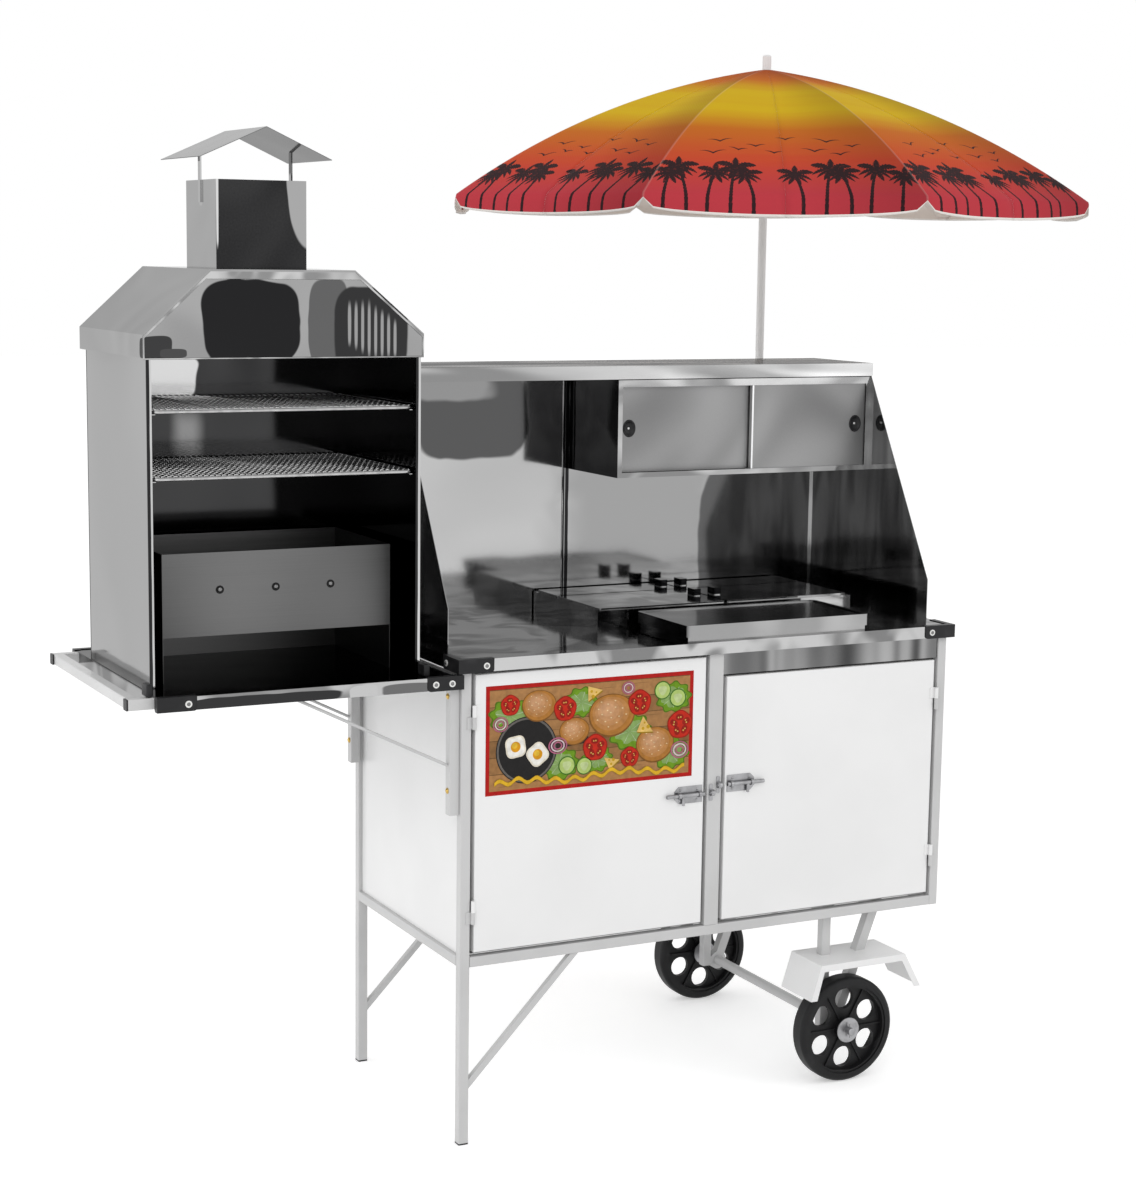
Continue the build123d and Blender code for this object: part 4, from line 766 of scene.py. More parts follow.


# For each steel: the nodes it covers, its painted lightness for each side in the order of SIDES, its ripple of
# painted reflection and its other settings. The spots are painted reflections, highlights and shade.
STEELS = {
    "counter_steel": (
        ("countertop",), (0.25, 0.3, 0.46, 0.4, 0.27, 0.2), {"Front": 0.4, "Top": 0.5},
        {"size": 0.13, "stretch": (1.0, 1.2, 1.0), "edge": 0.09},
    ),
    "well_steel": (
        ("pan_frame",), (0.25, 0.3, 0.6, 0.4, 0.4, 0.2), {"Front": 0.5, "Top": 0.7},
        {"size": 0.12, "shift": (3, 1, 0), "edge": 0.08},
    ),
    "apron_steel": (
        ("burner_box",), (0.4, 0.4, 0.22, 0.4, 0.4, 0.2), {"Front": 0.5},
        {"size": 0.2, "stretch": (1.6, 1, 0.05), "shift": (0.55, 0, 0), "edge": 0.25},
    ),
    "griddle_steel": (
        ("griddle_plate",), (0.05, 0.2, 0.55, 0.4, 0.05, 0.1), {"Front": 0.3, "Top": 0.12},
        {"edge": 0.15, "roughness": 0.14},
    ),
    "lid_steel": (
        ("front_left_lid", "front_right_lid", "rear_left_lid", "rear_right_lid"),
        (0.25, 0.3, 0.6, 0.4, 0.34, 0.2), {"Top": 0.5, "Front": 0.3},
        {"size": 0.16, "shift": (5, 2, 0), "edge": 0.12, "black_above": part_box("pan_frame")[1].z + 0.0055},
    ),
    "wall_steel": (
        ("back_wall",), (0.6, 0.6, 0.62, 0.4, 0.4, 0.4), {"Front": 0.12, "Back": 0.2},
        # Painted reflections of the right wing, a painted dark reflection with a highlight line on the seam
        # strip, and a painted highlight in the corner by the wing
        {"size": 0.5, "edge": 0.3, "spots": (
            ((0.66, 0.522, 1.12), (0.2, 0.02, 0.22), 0.42, 0.35),
            ((0.255, 0.522, 1.35), (0.125, 0.02, 0.095), 0.11, 0.04, 0.2),
            ((0.2, 0.522, 1.4), (0.1, 0.02, 0.022), 0.34, 0.2),
            ((0.97, 0.522, 1.05), (0.17, 0.02, 0.19), 0.13, 0.02, 0.06),
            ((0.4718, 0.5185, 1.2), (0.0068, 0.004, 0.4), 0.012, 0.02),
            ((0.4698, 0.5185, 1.2), (0.0009, 0.004, 0.4), 0.4, 0.1),
            ((1.0845, 0.5195, 1.09), (0.0026, 0.004, 0.15), 0.8, 0.1),
        )},
    ),
    "wing_steel": (
        ("wing_panels",), (0.42,) * 6, {"Left": 0.4, "Right": 0.2},
        {"size": 0.14, "stretch": (1, 2.0, 0.4), "edge": 0.25},
    ),
    "shelf_steel": (
        ("top_shelf",), (0.4, 0.3, 0.52, 0.4, 0.2, 0.3), {"Front": 0.4, "Top": 0.35},
        {"size": 0.22, "stretch": (0.35, 2.5, 3.0), "edge": 0.15, "top_mirror": 0.3},
    ),
    "showcase_steel": (
        ("overhead_cabinet",), (0.03, 0.25, 0.5, 0.3, 0.4, 0.45), {"Left": 0.03, "Front": 0.4},
        {"size": 0.2, "stretch": (1, 1, 2), "edge": 0.2},
    ),
    "slider_steel": (
        ("left_sliding_door", "right_sliding_door"), (0.9, 0.6, 0.29, 0.2, 0.3, 0.3), {"Front": 0.3},
        # A painted highlight along the right door's left rim
        {"size": 0.42, "shift": (0.3, 0, 0), "edge": 0.4, "roughness": 0.42, "spots": (
            ((0.7978, 0.305, 1.35), (0.002, 0.004, 0.2), 1.0, 0.1, 0.0),
        )},
    ),
    "tower_steel": (
        ("grill_body",), (0.64, 0.1, 0.7, 0.4, 0.4, 0.4), {"Left": 0.12, "Front": 0.2},
        # Painted shade inside the tower, painted reflections on its back wall and painted shade lines beside
        # its jambs
        {"size": 0.5, "stretch": (1, 1, 0.6), "edge": 0.3,
         "inside": (from_leg(-0.5775, 0.06, 0.0), from_leg(-0.0665, 0.4235, 2.0)), "spots": (
            ((-0.417, 0.424, 1.44), (0.052, 0.02, 0.042), 0.85, 0.05),
            ((-0.385, 0.424, 1.33), (0.024, 0.02, 0.04), 0.3, 0.6),
            ((-0.385, 0.424, 0.94), (0.05, 0.02, 0.03), 0.8, 0.1),
            ((-0.578, 0.4225, 1.2), (0.004, 0.003, 0.6), 0.02, 0.05),
            ((-0.5758, 0.044, 1.2), (0.0034, 0.002, 0.6), 0.02, 0.05),
            ((-0.0735, 0.044, 1.2), (0.003, 0.002, 0.6), 0.03, 0.05),
         )},
    ),
    "hood_steel": (
        ("hood",), (0.66, 0.35, 0.44, 0.4, 0.42, 0.04), {"Front": 0.12, "Right": 0.3},
        # Painted reflections on the hood's front: dark shapes of the chimney and light stripes
        {"edge": 0.2, "spots": (
            ((-0.39, 0.04, 1.553), (0.088, 0.02, 0.074), 0.012, 0.02, 0.22),
            ((-0.247, 0.04, 1.55), (0.036, 0.02, 0.08), 0.15, 0.03, 0.25),
            ((-0.163, 0.04, 1.54), (0.07, 0.02, 0.074), 0.035, 0.03, 0.2),
            ((-0.562, 0.04, 1.512), (0.03, 0.02, 0.02), 0.05, 0.03),
            ((-0.53, 0.04, 1.502), (0.025, 0.02, 0.008), 0.08, 0.03),
            *[
                ((-0.206 + 0.0125 * stripe, 0.04, 1.55 - 0.0035 * stripe),
                 (0.0028, 0.03, 0.046 - 0.004 * abs(stripe - 3)), 0.42, 0.25)
                for stripe in range(8)
            ],
        )},
    ),
    # The hood rim's light tone is a painted highlight
    "hood_rim_steel": ((), (0.56,) * 6, {"Front": 0.42, "Left": 0.2}, {"size": 0.09, "edge": 0.15}),
    "chimney_steel": (
        ("chimney",), (0.61, 0.35, 0.03, 0.4, 0.32, 0.34), {"Left": 0.05, "Front": 0.02, "Top": 0.08},
        # Painted reflections and highlights on the chimney's front, its edge and the cap post
        {"size": 0.24, "edge": 0.2, "spots": (
            ((-0.192, 0.16, 1.95), (0.09, 0.01, 0.272), 0.5, 0.012, 0.04),
            ((-0.4095, 0.16, 1.78), (0.0022, 0.01, 0.09), 0.9, 0.1),
            ((-0.327, 0.245, 1.87), (0.3, 0.3, 0.06), 0.2, 0.05),
            ((-0.4145, 0.245, 1.803), (0.007, 0.012, 0.046), 0.7, 0.02, 0.0),
        )},
    ),
    "tray_steel": (
        ("grill_tray",), (0.45, 0.2, 0.42, 0.4, 0.03, 0.2), {"Left": 0.3, "Front": 0.3, "Top": 0.05},
        # Painted reflections along the tray's front
        {"size": 0.18, "stretch": (0.7, 1, 1), "edge": 0.08, "spots": (
            ((-0.4, 0.0, 0.893), (0.17, 0.03, 0.011), 0.03, 0.03),
            ((-0.2, 0.0, 0.89), (0.028, 0.03, 0.016), 0.6, 0.05),
            ((-0.1, 0.0, 0.893), (0.06, 0.03, 0.011), 0.16, 0.05),
        )},
    ),
}


class CART_OT_finish_paint(bpy.types.Operator):
    """Paints the frame, panels, doors and mudguards"""

    bl_idname = "cart.finish_paint"
    bl_label = "Paint the cabinet"

    def execute(self, context):
        finish = context.scene.cart_finish
        paint_nodes(
            satin_paint("panel_paint", finish.panel_white, 0.04),
            "cabinet_panels", "left_door", "right_door", "fenders",
        )
        paint_nodes(
            satin_paint("tube_paint", finish.frame_grey, 0.1),
            "cabinet_frame", "shelf_brackets", "axle_carrier", "pole_socket", "hinge_pintles",
        )
        folding = [f"umbrella_{kind}_{rib + 1}" for kind in ("rib", "stretcher") for rib in range(RIB_COUNT)]
        paint_nodes(
            satin_paint("pole_enamel", finish.enamel, 0.06), "umbrella_pole", "umbrella_runner", *folding
        )
        return {"FINISHED"}


class CART_OT_finish_steel(bpy.types.Operator):
    """Polishes the stainless counter, walls, showcase and grill tower"""

    bl_idname = "cart.finish_steel"
    bl_label = "Polish the steel"

    def execute(self, context):
        for name, (nodes, tones, ripple, settings) in STEELS.items():
            paint_nodes(polished_steel(name, tones, ripple, **settings), *nodes)
        low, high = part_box("firebox")
        wall = Vector((0.003, 0.003, -0.01))
        paint_nodes(sooted_and_shaded_steel("firebox_steel", low + wall, high - wall), "firebox")
        return {"FINISHED"}


class CART_OT_finish_small_parts(bpy.types.Operator):
    """Finishes latches, axle, burners, racks, wheels, caps and corner guards"""

    bl_idname = "cart.finish_small_parts"
    bl_label = "Finish the small parts"

    def execute(self, context):
        finish = context.scene.cart_finish
        latches = [f"{side}_latch_{part}" for side in ("left", "right") for part in ("plate", "bolt")]
        paint_nodes(plated_metal("zinc_plate", finish.zinc, 0.32), *latches, "latch_keepers", "axle")
        paint_nodes(plated_metal("burner_pipe", (0.3, 0.28, 0.26), 0.5), "gas_burners")
        paint_nodes(plated_metal("rack_wire", grey(0.5), 0.3), "upper_rack", "lower_rack")
        paint_nodes(moulded_black("guard_black", finish.black, 0.42, 500.0), "corner_guards", "tube_end_caps")
        tyre = darker(finish.black, 0.4)
        paint_nodes(moulded_black("wheel_black", tyre, 0.5, 260.0), "front_wheel", "rear_wheel")
        return {"FINISHED"}


class CART_OT_add_fasteners(bpy.types.Operator):
    """Sets bolts and screws into guards, brackets, latches and firebox"""

    bl_idname = "cart.add_fasteners"
    bl_label = "Add the fasteners"

    def guard_points(self, inset):
        """Bolts of the corner guards, all round the counter and on the tray's front and back."""
        wall, below_top = 0.0025, 0.0125
        points = []
        for node, sides in (("countertop", True), ("grill_tray", False)):
            low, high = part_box(node)
            middle = high.z - below_top
            for x, inward in ((low.x, 1), (high.x, -1)):
                along = x + inward * (inset - wall)
                points.append((Vector((along, low.y - wall, middle)), FRONT))
                points.append((Vector((along, high.y + wall, middle)), BACK))
                for y, to_y in ((low.y, 1), (high.y, -1)) if sides else ():
                    place = Vector((x - inward * wall, y + to_y * (inset - wall), middle))
                    points.append((place, LEFT * inward))
        beside_guard = high.x - inset + 0.035
        points.append((Vector((beside_guard, low.y - wall, middle)), FRONT))
        return points

    def bracket_points(self):
        face = LEG_CORNER.x - 0.02
        return [
            (Vector((face, LEG_CORNER.y + y, z)), LEFT) for y in (0.018, 0.512) for z in (0.868, 0.689)
        ]

    def firebox_points(self):
        low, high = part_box("firebox")
        middle, pitch, height = (low.x + high.x) / 2 - 0.0055, 0.106, 1.075
        return [(Vector((middle + step * pitch, low.y, height)), FRONT) for step in (-1, 0, 1)]

    def latch_points(self, node):
        low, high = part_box(node)
        face = high.y - 0.0015
        inset = Vector((0.012, 0, 0.0065))
        return [
            (Vector((x, face, z)), FRONT)
            for x in (low.x + inset.x, high.x - inset.x)
            for z in (low.z + inset.z, high.z - inset.z)
        ]

    def execute(self, context):
        sizes = context.scene.cart_hardware
        white = satin_paint("bolt_ring", (0.82, 0.82, 0.8), 0.05)
        bare = plated_metal("bolt_head", grey(0.2), 0.3)
        brass = plated_metal("bolt_brass", context.scene.cart_finish.brass, 0.35)
        dark = plated_metal("bolt_dark", grey(0.02), 0.4)
        zinc = bpy.data.materials["zinc_plate"]
        guards, brackets = self.guard_points(sizes.guard_bolt_inset), self.bracket_points()
        # Body, slot, points, radius, ring and its height, head with its share of the radius and its height
        fasteners = {
            "guard_bolts": (
                "cart", "zinc", guards, sizes.guard_bolt_radius, white, 0.0012, bare, 0.55, 0.0022
            ),
            "bracket_bolts": (
                "cart", "zinc", brackets, sizes.brass_bolt_radius, brass, 0.0008, brass, 0.8, 0.003
            ),
            "firebox_bolts": (
                "firebox", "burner_steel", self.firebox_points(), sizes.firebox_bolt_radius, dark, 0.0008,
                bare, 0.62, 0.003,
            ),
        }
        for side in ("left", "right"):
            screws = self.latch_points(f"{side}_latch_plate")
            fasteners[f"{side}_latch_plate_screws"] = (
                f"{side}_door", "zinc", screws, sizes.latch_screw_radius, zinc, 0.0003, zinc, 0.92, 0.0013
            )
        for name, (body, slot, points, radius, ring, rise, head, share, dome) in fasteners.items():
            values = {
                "Ring Radius": radius, "Ring Height": rise, "Head Radius": radius * share,
                "Head Height": dome, "Ring": ring, "Head": head,
            }
            new_piece(name, point_mesh(name, points), body, fastener_heads(), values)
        return {"FINISHED"}


class CART_OT_add_rack_mesh(bpy.types.Operator):
    """Lays fine wire mesh on both grill racks"""

    bl_idname = "cart.add_rack_mesh"
    bl_label = "Add the rack mesh"

    def execute(self, context):
        sizes = context.scene.cart_hardware
        pitch = sizes.mesh_pitch
        rim, rod_radius = 0.006, 0.00175
        for rack in ("upper_rack", "lower_rack"):
            low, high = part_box(rack)
            width = high.x - low.x - rim
            depth = high.y - low.y - rim
            centre = (low + high) / 2
            centre.z = (low.z + high.z) / 2 + rod_radius + 2 * sizes.mesh_wire
            values = {
                "Centre": centre, "Width": width - pitch, "Depth": depth, "Across": round(width / pitch),
                "Along": round(depth / pitch / 2), "Wire": sizes.mesh_wire,
                "Material": bpy.data.materials["rack_wire"],
            }
            name = f"{rack}_mesh"
            new_piece(name, bpy.data.meshes.new(name), rack, wire_mesh(), values)
        return {"FINISHED"}


# Radius and sink of the finger cup's outline, as shares, from the back over the rim to the floor
CUP_PROFILE = (
    (0.36, 1.02), (0.68, 0.82), (0.85, 0.42), (1.0, 0.25), (1.12, 0.0), (1.1, -0.28), (1.0, -0.36),
    (0.9, -0.2), (0.78, 0.35), (0.6, 0.72), (0.3, 0.92),
)


def dish(shape, centre, half, depth):
    """An oval finger cup with a rolled rim, open to the front, and a small white disc in its floor."""
    steps = 32
    turns = [step * math.tau / steps for step in range(steps)]
    rows = [
        [
            shape.verts.new((
                centre.x + half[0] * share * math.cos(turn), centre.y + depth * sink,
                centre.z + half[1] * share * math.sin(turn),
            ))
            for turn in turns
        ]
        for share, sink in CUP_PROFILE
    ]
    for row, following in zip(rows, rows[1:]):
        for first, second, third, fourth in quads(row, following):
            shape.faces.new((first, fourth, third, second))
    shape.faces.new(rows[-1])
    shape.faces.new(reversed(rows[0]))
    # A small white disc in the cup's floor
    white_disc = bmesh.ops.create_cone(
        shape, cap_ends=True, segments=16, radius1=0.0026, radius2=0.0021, depth=depth / 2,
        matrix=Matrix.Translation(centre + Vector((0, depth * 0.72, 0))) @ Matrix.Rotation(math.pi / 2, 4, "X"),
    )
    for vertex in white_disc["verts"]:
        for face in vertex.link_faces:
            face.material_index = 1
    bmesh.ops.recalc_face_normals(shape, faces=shape.faces)


class CART_OT_add_finger_pulls(bpy.types.Operator):
    """Sets black oval finger cups into the sliding doors"""

    bl_idname = "cart.add_finger_pulls"
    bl_label = "Add the finger pulls"

    def execute(self, context):
        sizes = context.scene.cart_hardware
        inset, play = 0.024, 0.0004
        half = (sizes.pull_width / 2 - play, sizes.pull_height / 2 - play)
        black, white = bpy.data.materials["guard_black"], bpy.data.materials["pole_enamel"]
        for side in ("left", "right"):
            low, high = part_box(f"{side}_sliding_door")
            x = low.x + inset if side == "left" else high.x - inset
            centre = Vector((x, low.y, (low.z + high.z) / 2))
            name = f"{side}_sliding_door_pull"
            cup = partial(dish, centre=centre, half=half, depth=sizes.pull_depth)
            mesh = mesh_from(name, cup, black, white)
            shade_smooth(mesh)
            new_piece(name, mesh, f"{side}_slider")
        return {"FINISHED"}


class CART_OT_add_tower_clips(bpy.types.Operator):
    """Adds the black clips that hold the tower's front corners to the shelf"""

    bl_idname = "cart.add_tower_clips"
    bl_label = "Add the tower clips"

    def build(self, shape):
        low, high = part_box("grill_body")
        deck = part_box("grill_tray")[1].z
        width, depth, height = 0.012, 0.03, 0.022
        shift, gap = 0.004, 0.0005
        for x in (low.x, high.x):
            place = Matrix.Translation((x - shift, low.y - depth / 2 - gap, deck + height / 2))
            bmesh.ops.create_cube(shape, size=1.0, matrix=place @ Matrix.Diagonal((width, depth, height, 1)))
        bmesh.ops.bevel(
            shape, geom=list(shape.edges), offset=0.003, segments=3, affect="EDGES", profile=0.6
        )

    def execute(self, context):
        mesh = mesh_from("tower_clips", self.build, bpy.data.materials["guard_black"])
        shade_smooth(mesh)
        mesh.set_sharp_from_angle(angle=math.radians(40))
        new_piece("tower_clips", mesh, "cart")
        return {"FINISHED"}


def inset_loop(corners, widths):
    """A clockwise outline moved inwards, each side by its own width."""
    sides = []
    for (x, z), (next_x, next_z), width in zip(corners, corners[1:] + corners[:1], widths):
        along = Vector((next_x - x, next_z - z)).normalized()
        inward = Vector((along.y, -along.x))
        sides.append((inward, inward.dot(Vector((x, z))) + width))
    loop = []
    for (before, reach_before), (after, reach_after) in zip(sides[-1:] + sides[:-1], sides):
        turn = before.x * after.y - after.x * before.y
        loop.append((
            (reach_before * after.y - reach_after * before.y) / turn,
            (before.x * reach_after - after.x * reach_before) / turn,
        ))
    return loop


class CART_OT_add_hood_rim(bpy.types.Operator):
    """Folds a bright rim around the hood's front"""

    bl_idname = "cart.add_hood_rim"
    bl_label = "Add the hood rim"

    # Outline from the leg and over the floor, and the rim's width along each side
    corners = [
        (-0.585, 1.491), (-0.585, 1.531), (-0.463, 1.643), (-0.195, 1.643), (-0.062, 1.531), (-0.062, 1.491)
    ]
    widths = (0.004, 0.005, 0.014, 0.005, 0.004, 0.0035)

    def build(self, shape):
        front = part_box("hood")[0].y
        count = len(self.corners)
        edge, proud, sunk = 0.0004, 0.0014, 0.0003
        profile = (
            ([edge] * count, sunk), ([edge] * count, -proud / 2), ([2.5 * edge] * count, -proud),
            ([width - 2 * edge for width in self.widths], -proud), (self.widths, sunk),
        )
        loops = []
        for insets, offset in profile:
            places = [from_leg(x, 0, z) for x, z in inset_loop(self.corners, insets)]
            loops.append([shape.verts.new((place.x, front + offset, place.z)) for place in places])
        for loop, following in zip(loops, loops[1:] + loops[:1]):
            for corners in quads(loop, following):
                shape.faces.new(corners)
        bmesh.ops.recalc_face_normals(shape, faces=shape.faces)

    def execute(self, context):
        mesh = mesh_from("hood_rim", self.build, bpy.data.materials["hood_rim_steel"])
        new_piece("hood_rim", mesh, "cart")
        return {"FINISHED"}


def around(x, z, out, turn, squash=1.0):
    """A point at a distance and turn from a middle."""
    return x + out * math.cos(turn), z + out * math.sin(turn) * squash


def rounded(count, radius, waves=0, depth=0.0, phase=0.0, squash=1.0):
    """Points round a middle, with waves in and out."""
    points = []
    for step in range(count):
        turn = step * math.tau / count
        points.append(around(0, 0, radius * (1 + depth * math.sin(waves * turn + phase)), turn, squash))
    return points


# Where each kind of food lies on the sign, its size, and for some its turn or squash
FOOD = {
    "leaf": (
        (0.05, 0.15, 0.042, 0.2), (0.155, 0.05, 0.04, 1.4), (0.2, 0.165, 0.036, 2.2),
        (0.305, 0.1, 0.045, 0.7), (0.4, 0.16, 0.038, 1.1), (0.395, 0.05, 0.04, 2.6),
        (0.235, 0.052, 0.032, 0.4),
    ),
    "pan": ((0.085, 0.082, 0.064),),
    "roll": ((0.11, 0.165, 0.036), (0.265, 0.135, 0.05), (0.36, 0.07, 0.042), (0.185, 0.11, 0.032)),
    "tomato": (
        (0.165, 0.155, 0.024), (0.23, 0.075, 0.026), (0.325, 0.155, 0.025), (0.415, 0.105, 0.028),
        (0.305, 0.05, 0.02), (0.05, 0.17, 0.02),
    ),
    "cucumber": (
        (0.375, 0.175, 0.018), (0.409, 0.158, 0.018), (0.17, 0.045, 0.018), (0.207, 0.041, 0.017)
    ),
    "cheese": ((0.225, 0.18, 0.02, 0.3), (0.338, 0.108, 0.022, 1.8), (0.265, 0.045, 0.018, 2.6)),
    "onion": (
        (0.03, 0.135, 0.016, 0.9), (0.15, 0.085, 0.02, 0.8), (0.415, 0.055, 0.02, 0.85),
        (0.3, 0.185, 0.014, 0.9),
    ),
}


class SignPress:
    """Prints flat shapes on the door, each on its own layer of film."""

    def __init__(self, shape, sign):
        self.shape = shape
        self.sign = sign
        self.inks = shape.loops.layers.float_color.new("ink")
        self.origin = from_leg(sign.left, 0, sign.base)

    def corners(self, points, level, middle):
        face = DOOR_FACE - self.sign.film * (level + 1)
        left, base = self.origin.x, self.origin.z
        return [self.shape.verts.new((left + (middle[0] + x), face, base + (middle[1] + z))) for x, z in points]

    def face(self, corners, colour):
        face = self.shape.faces.new(corners)
        face.normal_update()
        if face.normal.y > 0:
            face.normal_flip()
        for loop in face.loops:
            loop[self.inks] = opaque(colour)

    def patch(self, points, level, colour, middle=(0, 0)):
        self.face(self.corners(points, level, middle), colour)

    def blob(self, middle, level, colour, *outline, **more):
        self.patch(rounded(*outline, **more), level, colour, middle)

    def bar(self, x, z, to_x, to_z, level, colour):
        self.patch([(x, z), (to_x, z), (to_x, to_z), (x, to_z)], level, colour)

    def ring(self, middle, outer, inner, level, colour, squash=1.0):
        """A flat band between two ovals."""
        loops = [self.corners(rounded(36, radius, squash=squash), level, middle) for radius in (outer, inner)]
        for corners in quads(*loops):
            self.face(corners, colour)

    def band(self, crest, half, level, colour):
        """A wavy stripe of even height."""
        for (x, z), (next_x, next_z) in zip(crest, crest[1:]):
            points = [(x, z - half), (next_x, next_z - half), (next_x, next_z + half), (x, z + half)]
            self.patch(points, level, colour)

    def board(self):
        """Border and planks."""
        sign = self.sign
        edge = sign.border
        wide, tall = sign.width - edge, sign.height - edge
        self.bar(0, 0, sign.width, sign.height, 0, sign.border_red)
        self.bar(edge, edge, wide, tall, 1, darker(sign.board, 0.7))
        planks = 6
        step = (tall - edge) / planks
        for plank in range(planks):
            tint = darker(sign.board, 0.1 * (plank * 2 % 5))
            base = edge + plank * step
            self.bar(edge, base, wide, base + step * 0.96, 2, tint)
            for vein in range(6):
                start = edge + 0.01 + vein * 0.068 + 0.011 * (plank % 4)
                line = base + step * (0.2 + 0.13 * (vein % 5))
                points = [(start, line), (start + 0.05, line + 0.0008), (start + 0.024, line + 0.002)]
                self.patch(points, 3, darker(tint, 0.3))

    def leaf(self, x, z, radius, phase):
        leaf = self.sign.leaf
        self.blob((x, z), 4, darker(leaf, 0.45), 64, radius, 9, 0.1, phase, 0.78)
        self.blob((x, z), 5, leaf, 64, radius * 0.92, 9, 0.1, phase, 0.78)
        self.blob((x, z), 6, lighter(leaf, 0.1), 56, radius * 0.7, 7, 0.12, phase + 1, 0.72)
        for vein in range(7):
            turn = phase + vein * math.tau / 7
            tip = (radius * 0.72 * math.cos(turn), radius * 0.55 * math.sin(turn))
            side = (tip[0] - radius * 0.03 * math.sin(turn), tip[1] + radius * 0.03 * math.cos(turn))
            self.patch([(0, 0), side, tip], 7, lighter(leaf, 0.35), (x, z))

    def pan(self, x, z, radius):
        """A black pan with two fried eggs and a handle."""
        handle = [(0.063, -0.003), (0.13, 0.004), (0.13, 0.016), (0.063, 0.009)]
        self.patch(handle, 8, (0.03, 0.02, 0.016), (x, z))
        self.blob((x, z), 8, (0.012, 0.011, 0.011), 48, radius)
        self.ring((x, z), radius * 0.97, radius * 0.91, 9, (0.12, 0.11, 0.1))
        for side, lift in ((-0.36, 0.12), (0.36, -0.16)):
            egg = (x + radius * side, z + radius * lift)
            shine = (egg[0] - radius * 0.03, egg[1] + radius * 0.04)
            self.blob(egg, 10, (0.74, 0.68, 0.56), 40, radius * 0.35, 4, 0.08, side * 6)
            self.blob(egg, 11, (0.82, 0.8, 0.74), 36, radius * 0.3, 4, 0.1, side * 6)
            self.blob(egg, 12, (0.66, 0.3, 0.01), 28, radius * 0.16)
            self.blob(shine, 13, (0.74, 0.46, 0.04), 20, radius * 0.09)

    def roll(self, x, z, radius):
        bread = self.sign.bread
        self.blob((x, z), 15, darker(bread, 0.6), 40, radius, 3, 0.02, 0.5, 0.84)
        for layer in range(5):
            shrink = radius * (0.95 - 0.16 * layer)
            shine = (x - radius * 0.05 * layer, z + radius * (0.02 + 0.05 * layer))
            tint = lighter(darker(bread, 0.2 - 0.05 * layer), 0.03 * layer)
            self.blob(shine, 16 + layer, tint, 36, shrink, 3, 0.02, 0.5, 0.83)
        for seed in range(16):
            out = radius * 0.19 * math.sqrt(seed)
            place = around(x - radius * 0.05, z + radius * 0.1, out, seed * 2.4, 0.75)
            self.blob(place, 21, (0.72, 0.56, 0.32), 8, radius * 0.04, squash=0.6)

    def tomato(self, x, z, radius):
        red = self.sign.tomato
        self.blob((x, z), 22, darker(red, 0.4), 36, radius, 5, 0.03)
        self.blob((x, z), 23, red, 36, radius * 0.92, 5, 0.03)
        for part in range(5):
            turn = part * math.tau / 5 + 0.4
            cell = around(x, z, radius * 0.5, turn)
            self.blob(cell, 24, darker(red, 0.45), 18, radius * 0.27, 2, 0.2, turn)
            for seed in (-0.09, 0.09):
                place = (cell[0] - radius * seed * math.sin(turn), cell[1] + radius * seed * math.cos(turn))
                self.blob(place, 25, (0.66, 0.42, 0.1), 8, radius * 0.06)

    def cucumber(self, x, z, radius):
        self.blob((x, z), 22, (0.05, 0.16, 0.015), 32, radius)
        self.blob((x, z), 23, (0.42, 0.55, 0.16), 32, radius * 0.88)
        self.blob((x, z), 24, (0.5, 0.6, 0.28), 28, radius * 0.5, 3, 0.12)

    def cheese(self, x, z, size, turn):
        mustard = self.sign.mustard
        corners = [around(0, 0, size, turn + part * 1.9, 0.9) for part in range(3)]
        self.patch([(a + 0.0015, b - 0.0025) for a, b in corners], 22, darker(mustard, 0.55), (x, z))
        self.patch(corners, 23, lighter(mustard, 0.12), (x, z))
        for part in range(3):
            hole = around(x, z, size * 0.3, turn + part * 2.1)
            self.blob(hole, 24, darker(mustard, 0.25), 14, size * (0.1 + 0.04 * part))

    def onion(self, x, z, radius, squash):
        onion = self.sign.onion
        for share, tint in ((1.0, onion), (0.74, lighter(onion, 0.45)), (0.48, onion)):
            self.ring((x, z), radius * share, radius * (share - 0.15), 26, tint, squash)

    def mustard(self):
        """A wave along the foot of the sign."""
        sign = self.sign
        count, margin = 72, sign.border + 0.01
        span = sign.width - 2 * sign.border - 0.02
        crest = [
            (margin + span * step / count, 0.021 + 0.005 * math.sin(step * 0.9) + 0.004 * math.sin(step * 0.17))
            for step in range(count + 1)
        ]
        self.band(crest, 0.0042, 27, darker(sign.mustard, 0.45))
        self.band(crest, 0.0033, 28, sign.mustard)


class CART_OT_add_sign(bpy.types.Operator):
    """Prints the food sign on the left door"""

    bl_idname = "cart.add_sign"
    bl_label = "Add the sign"

    def build(self, shape):
        press = SignPress(shape, bpy.context.scene.cart_sign)
        press.board()
        for kind, places in FOOD.items():
            for place in places:
                getattr(press, kind)(*place)
        press.mustard()

    def execute(self, context):
        mesh = mesh_from("door_sign", self.build, printed_vinyl("sign_vinyl"))
        new_piece("door_sign", mesh, "left_door")
        return {"FINISHED"}


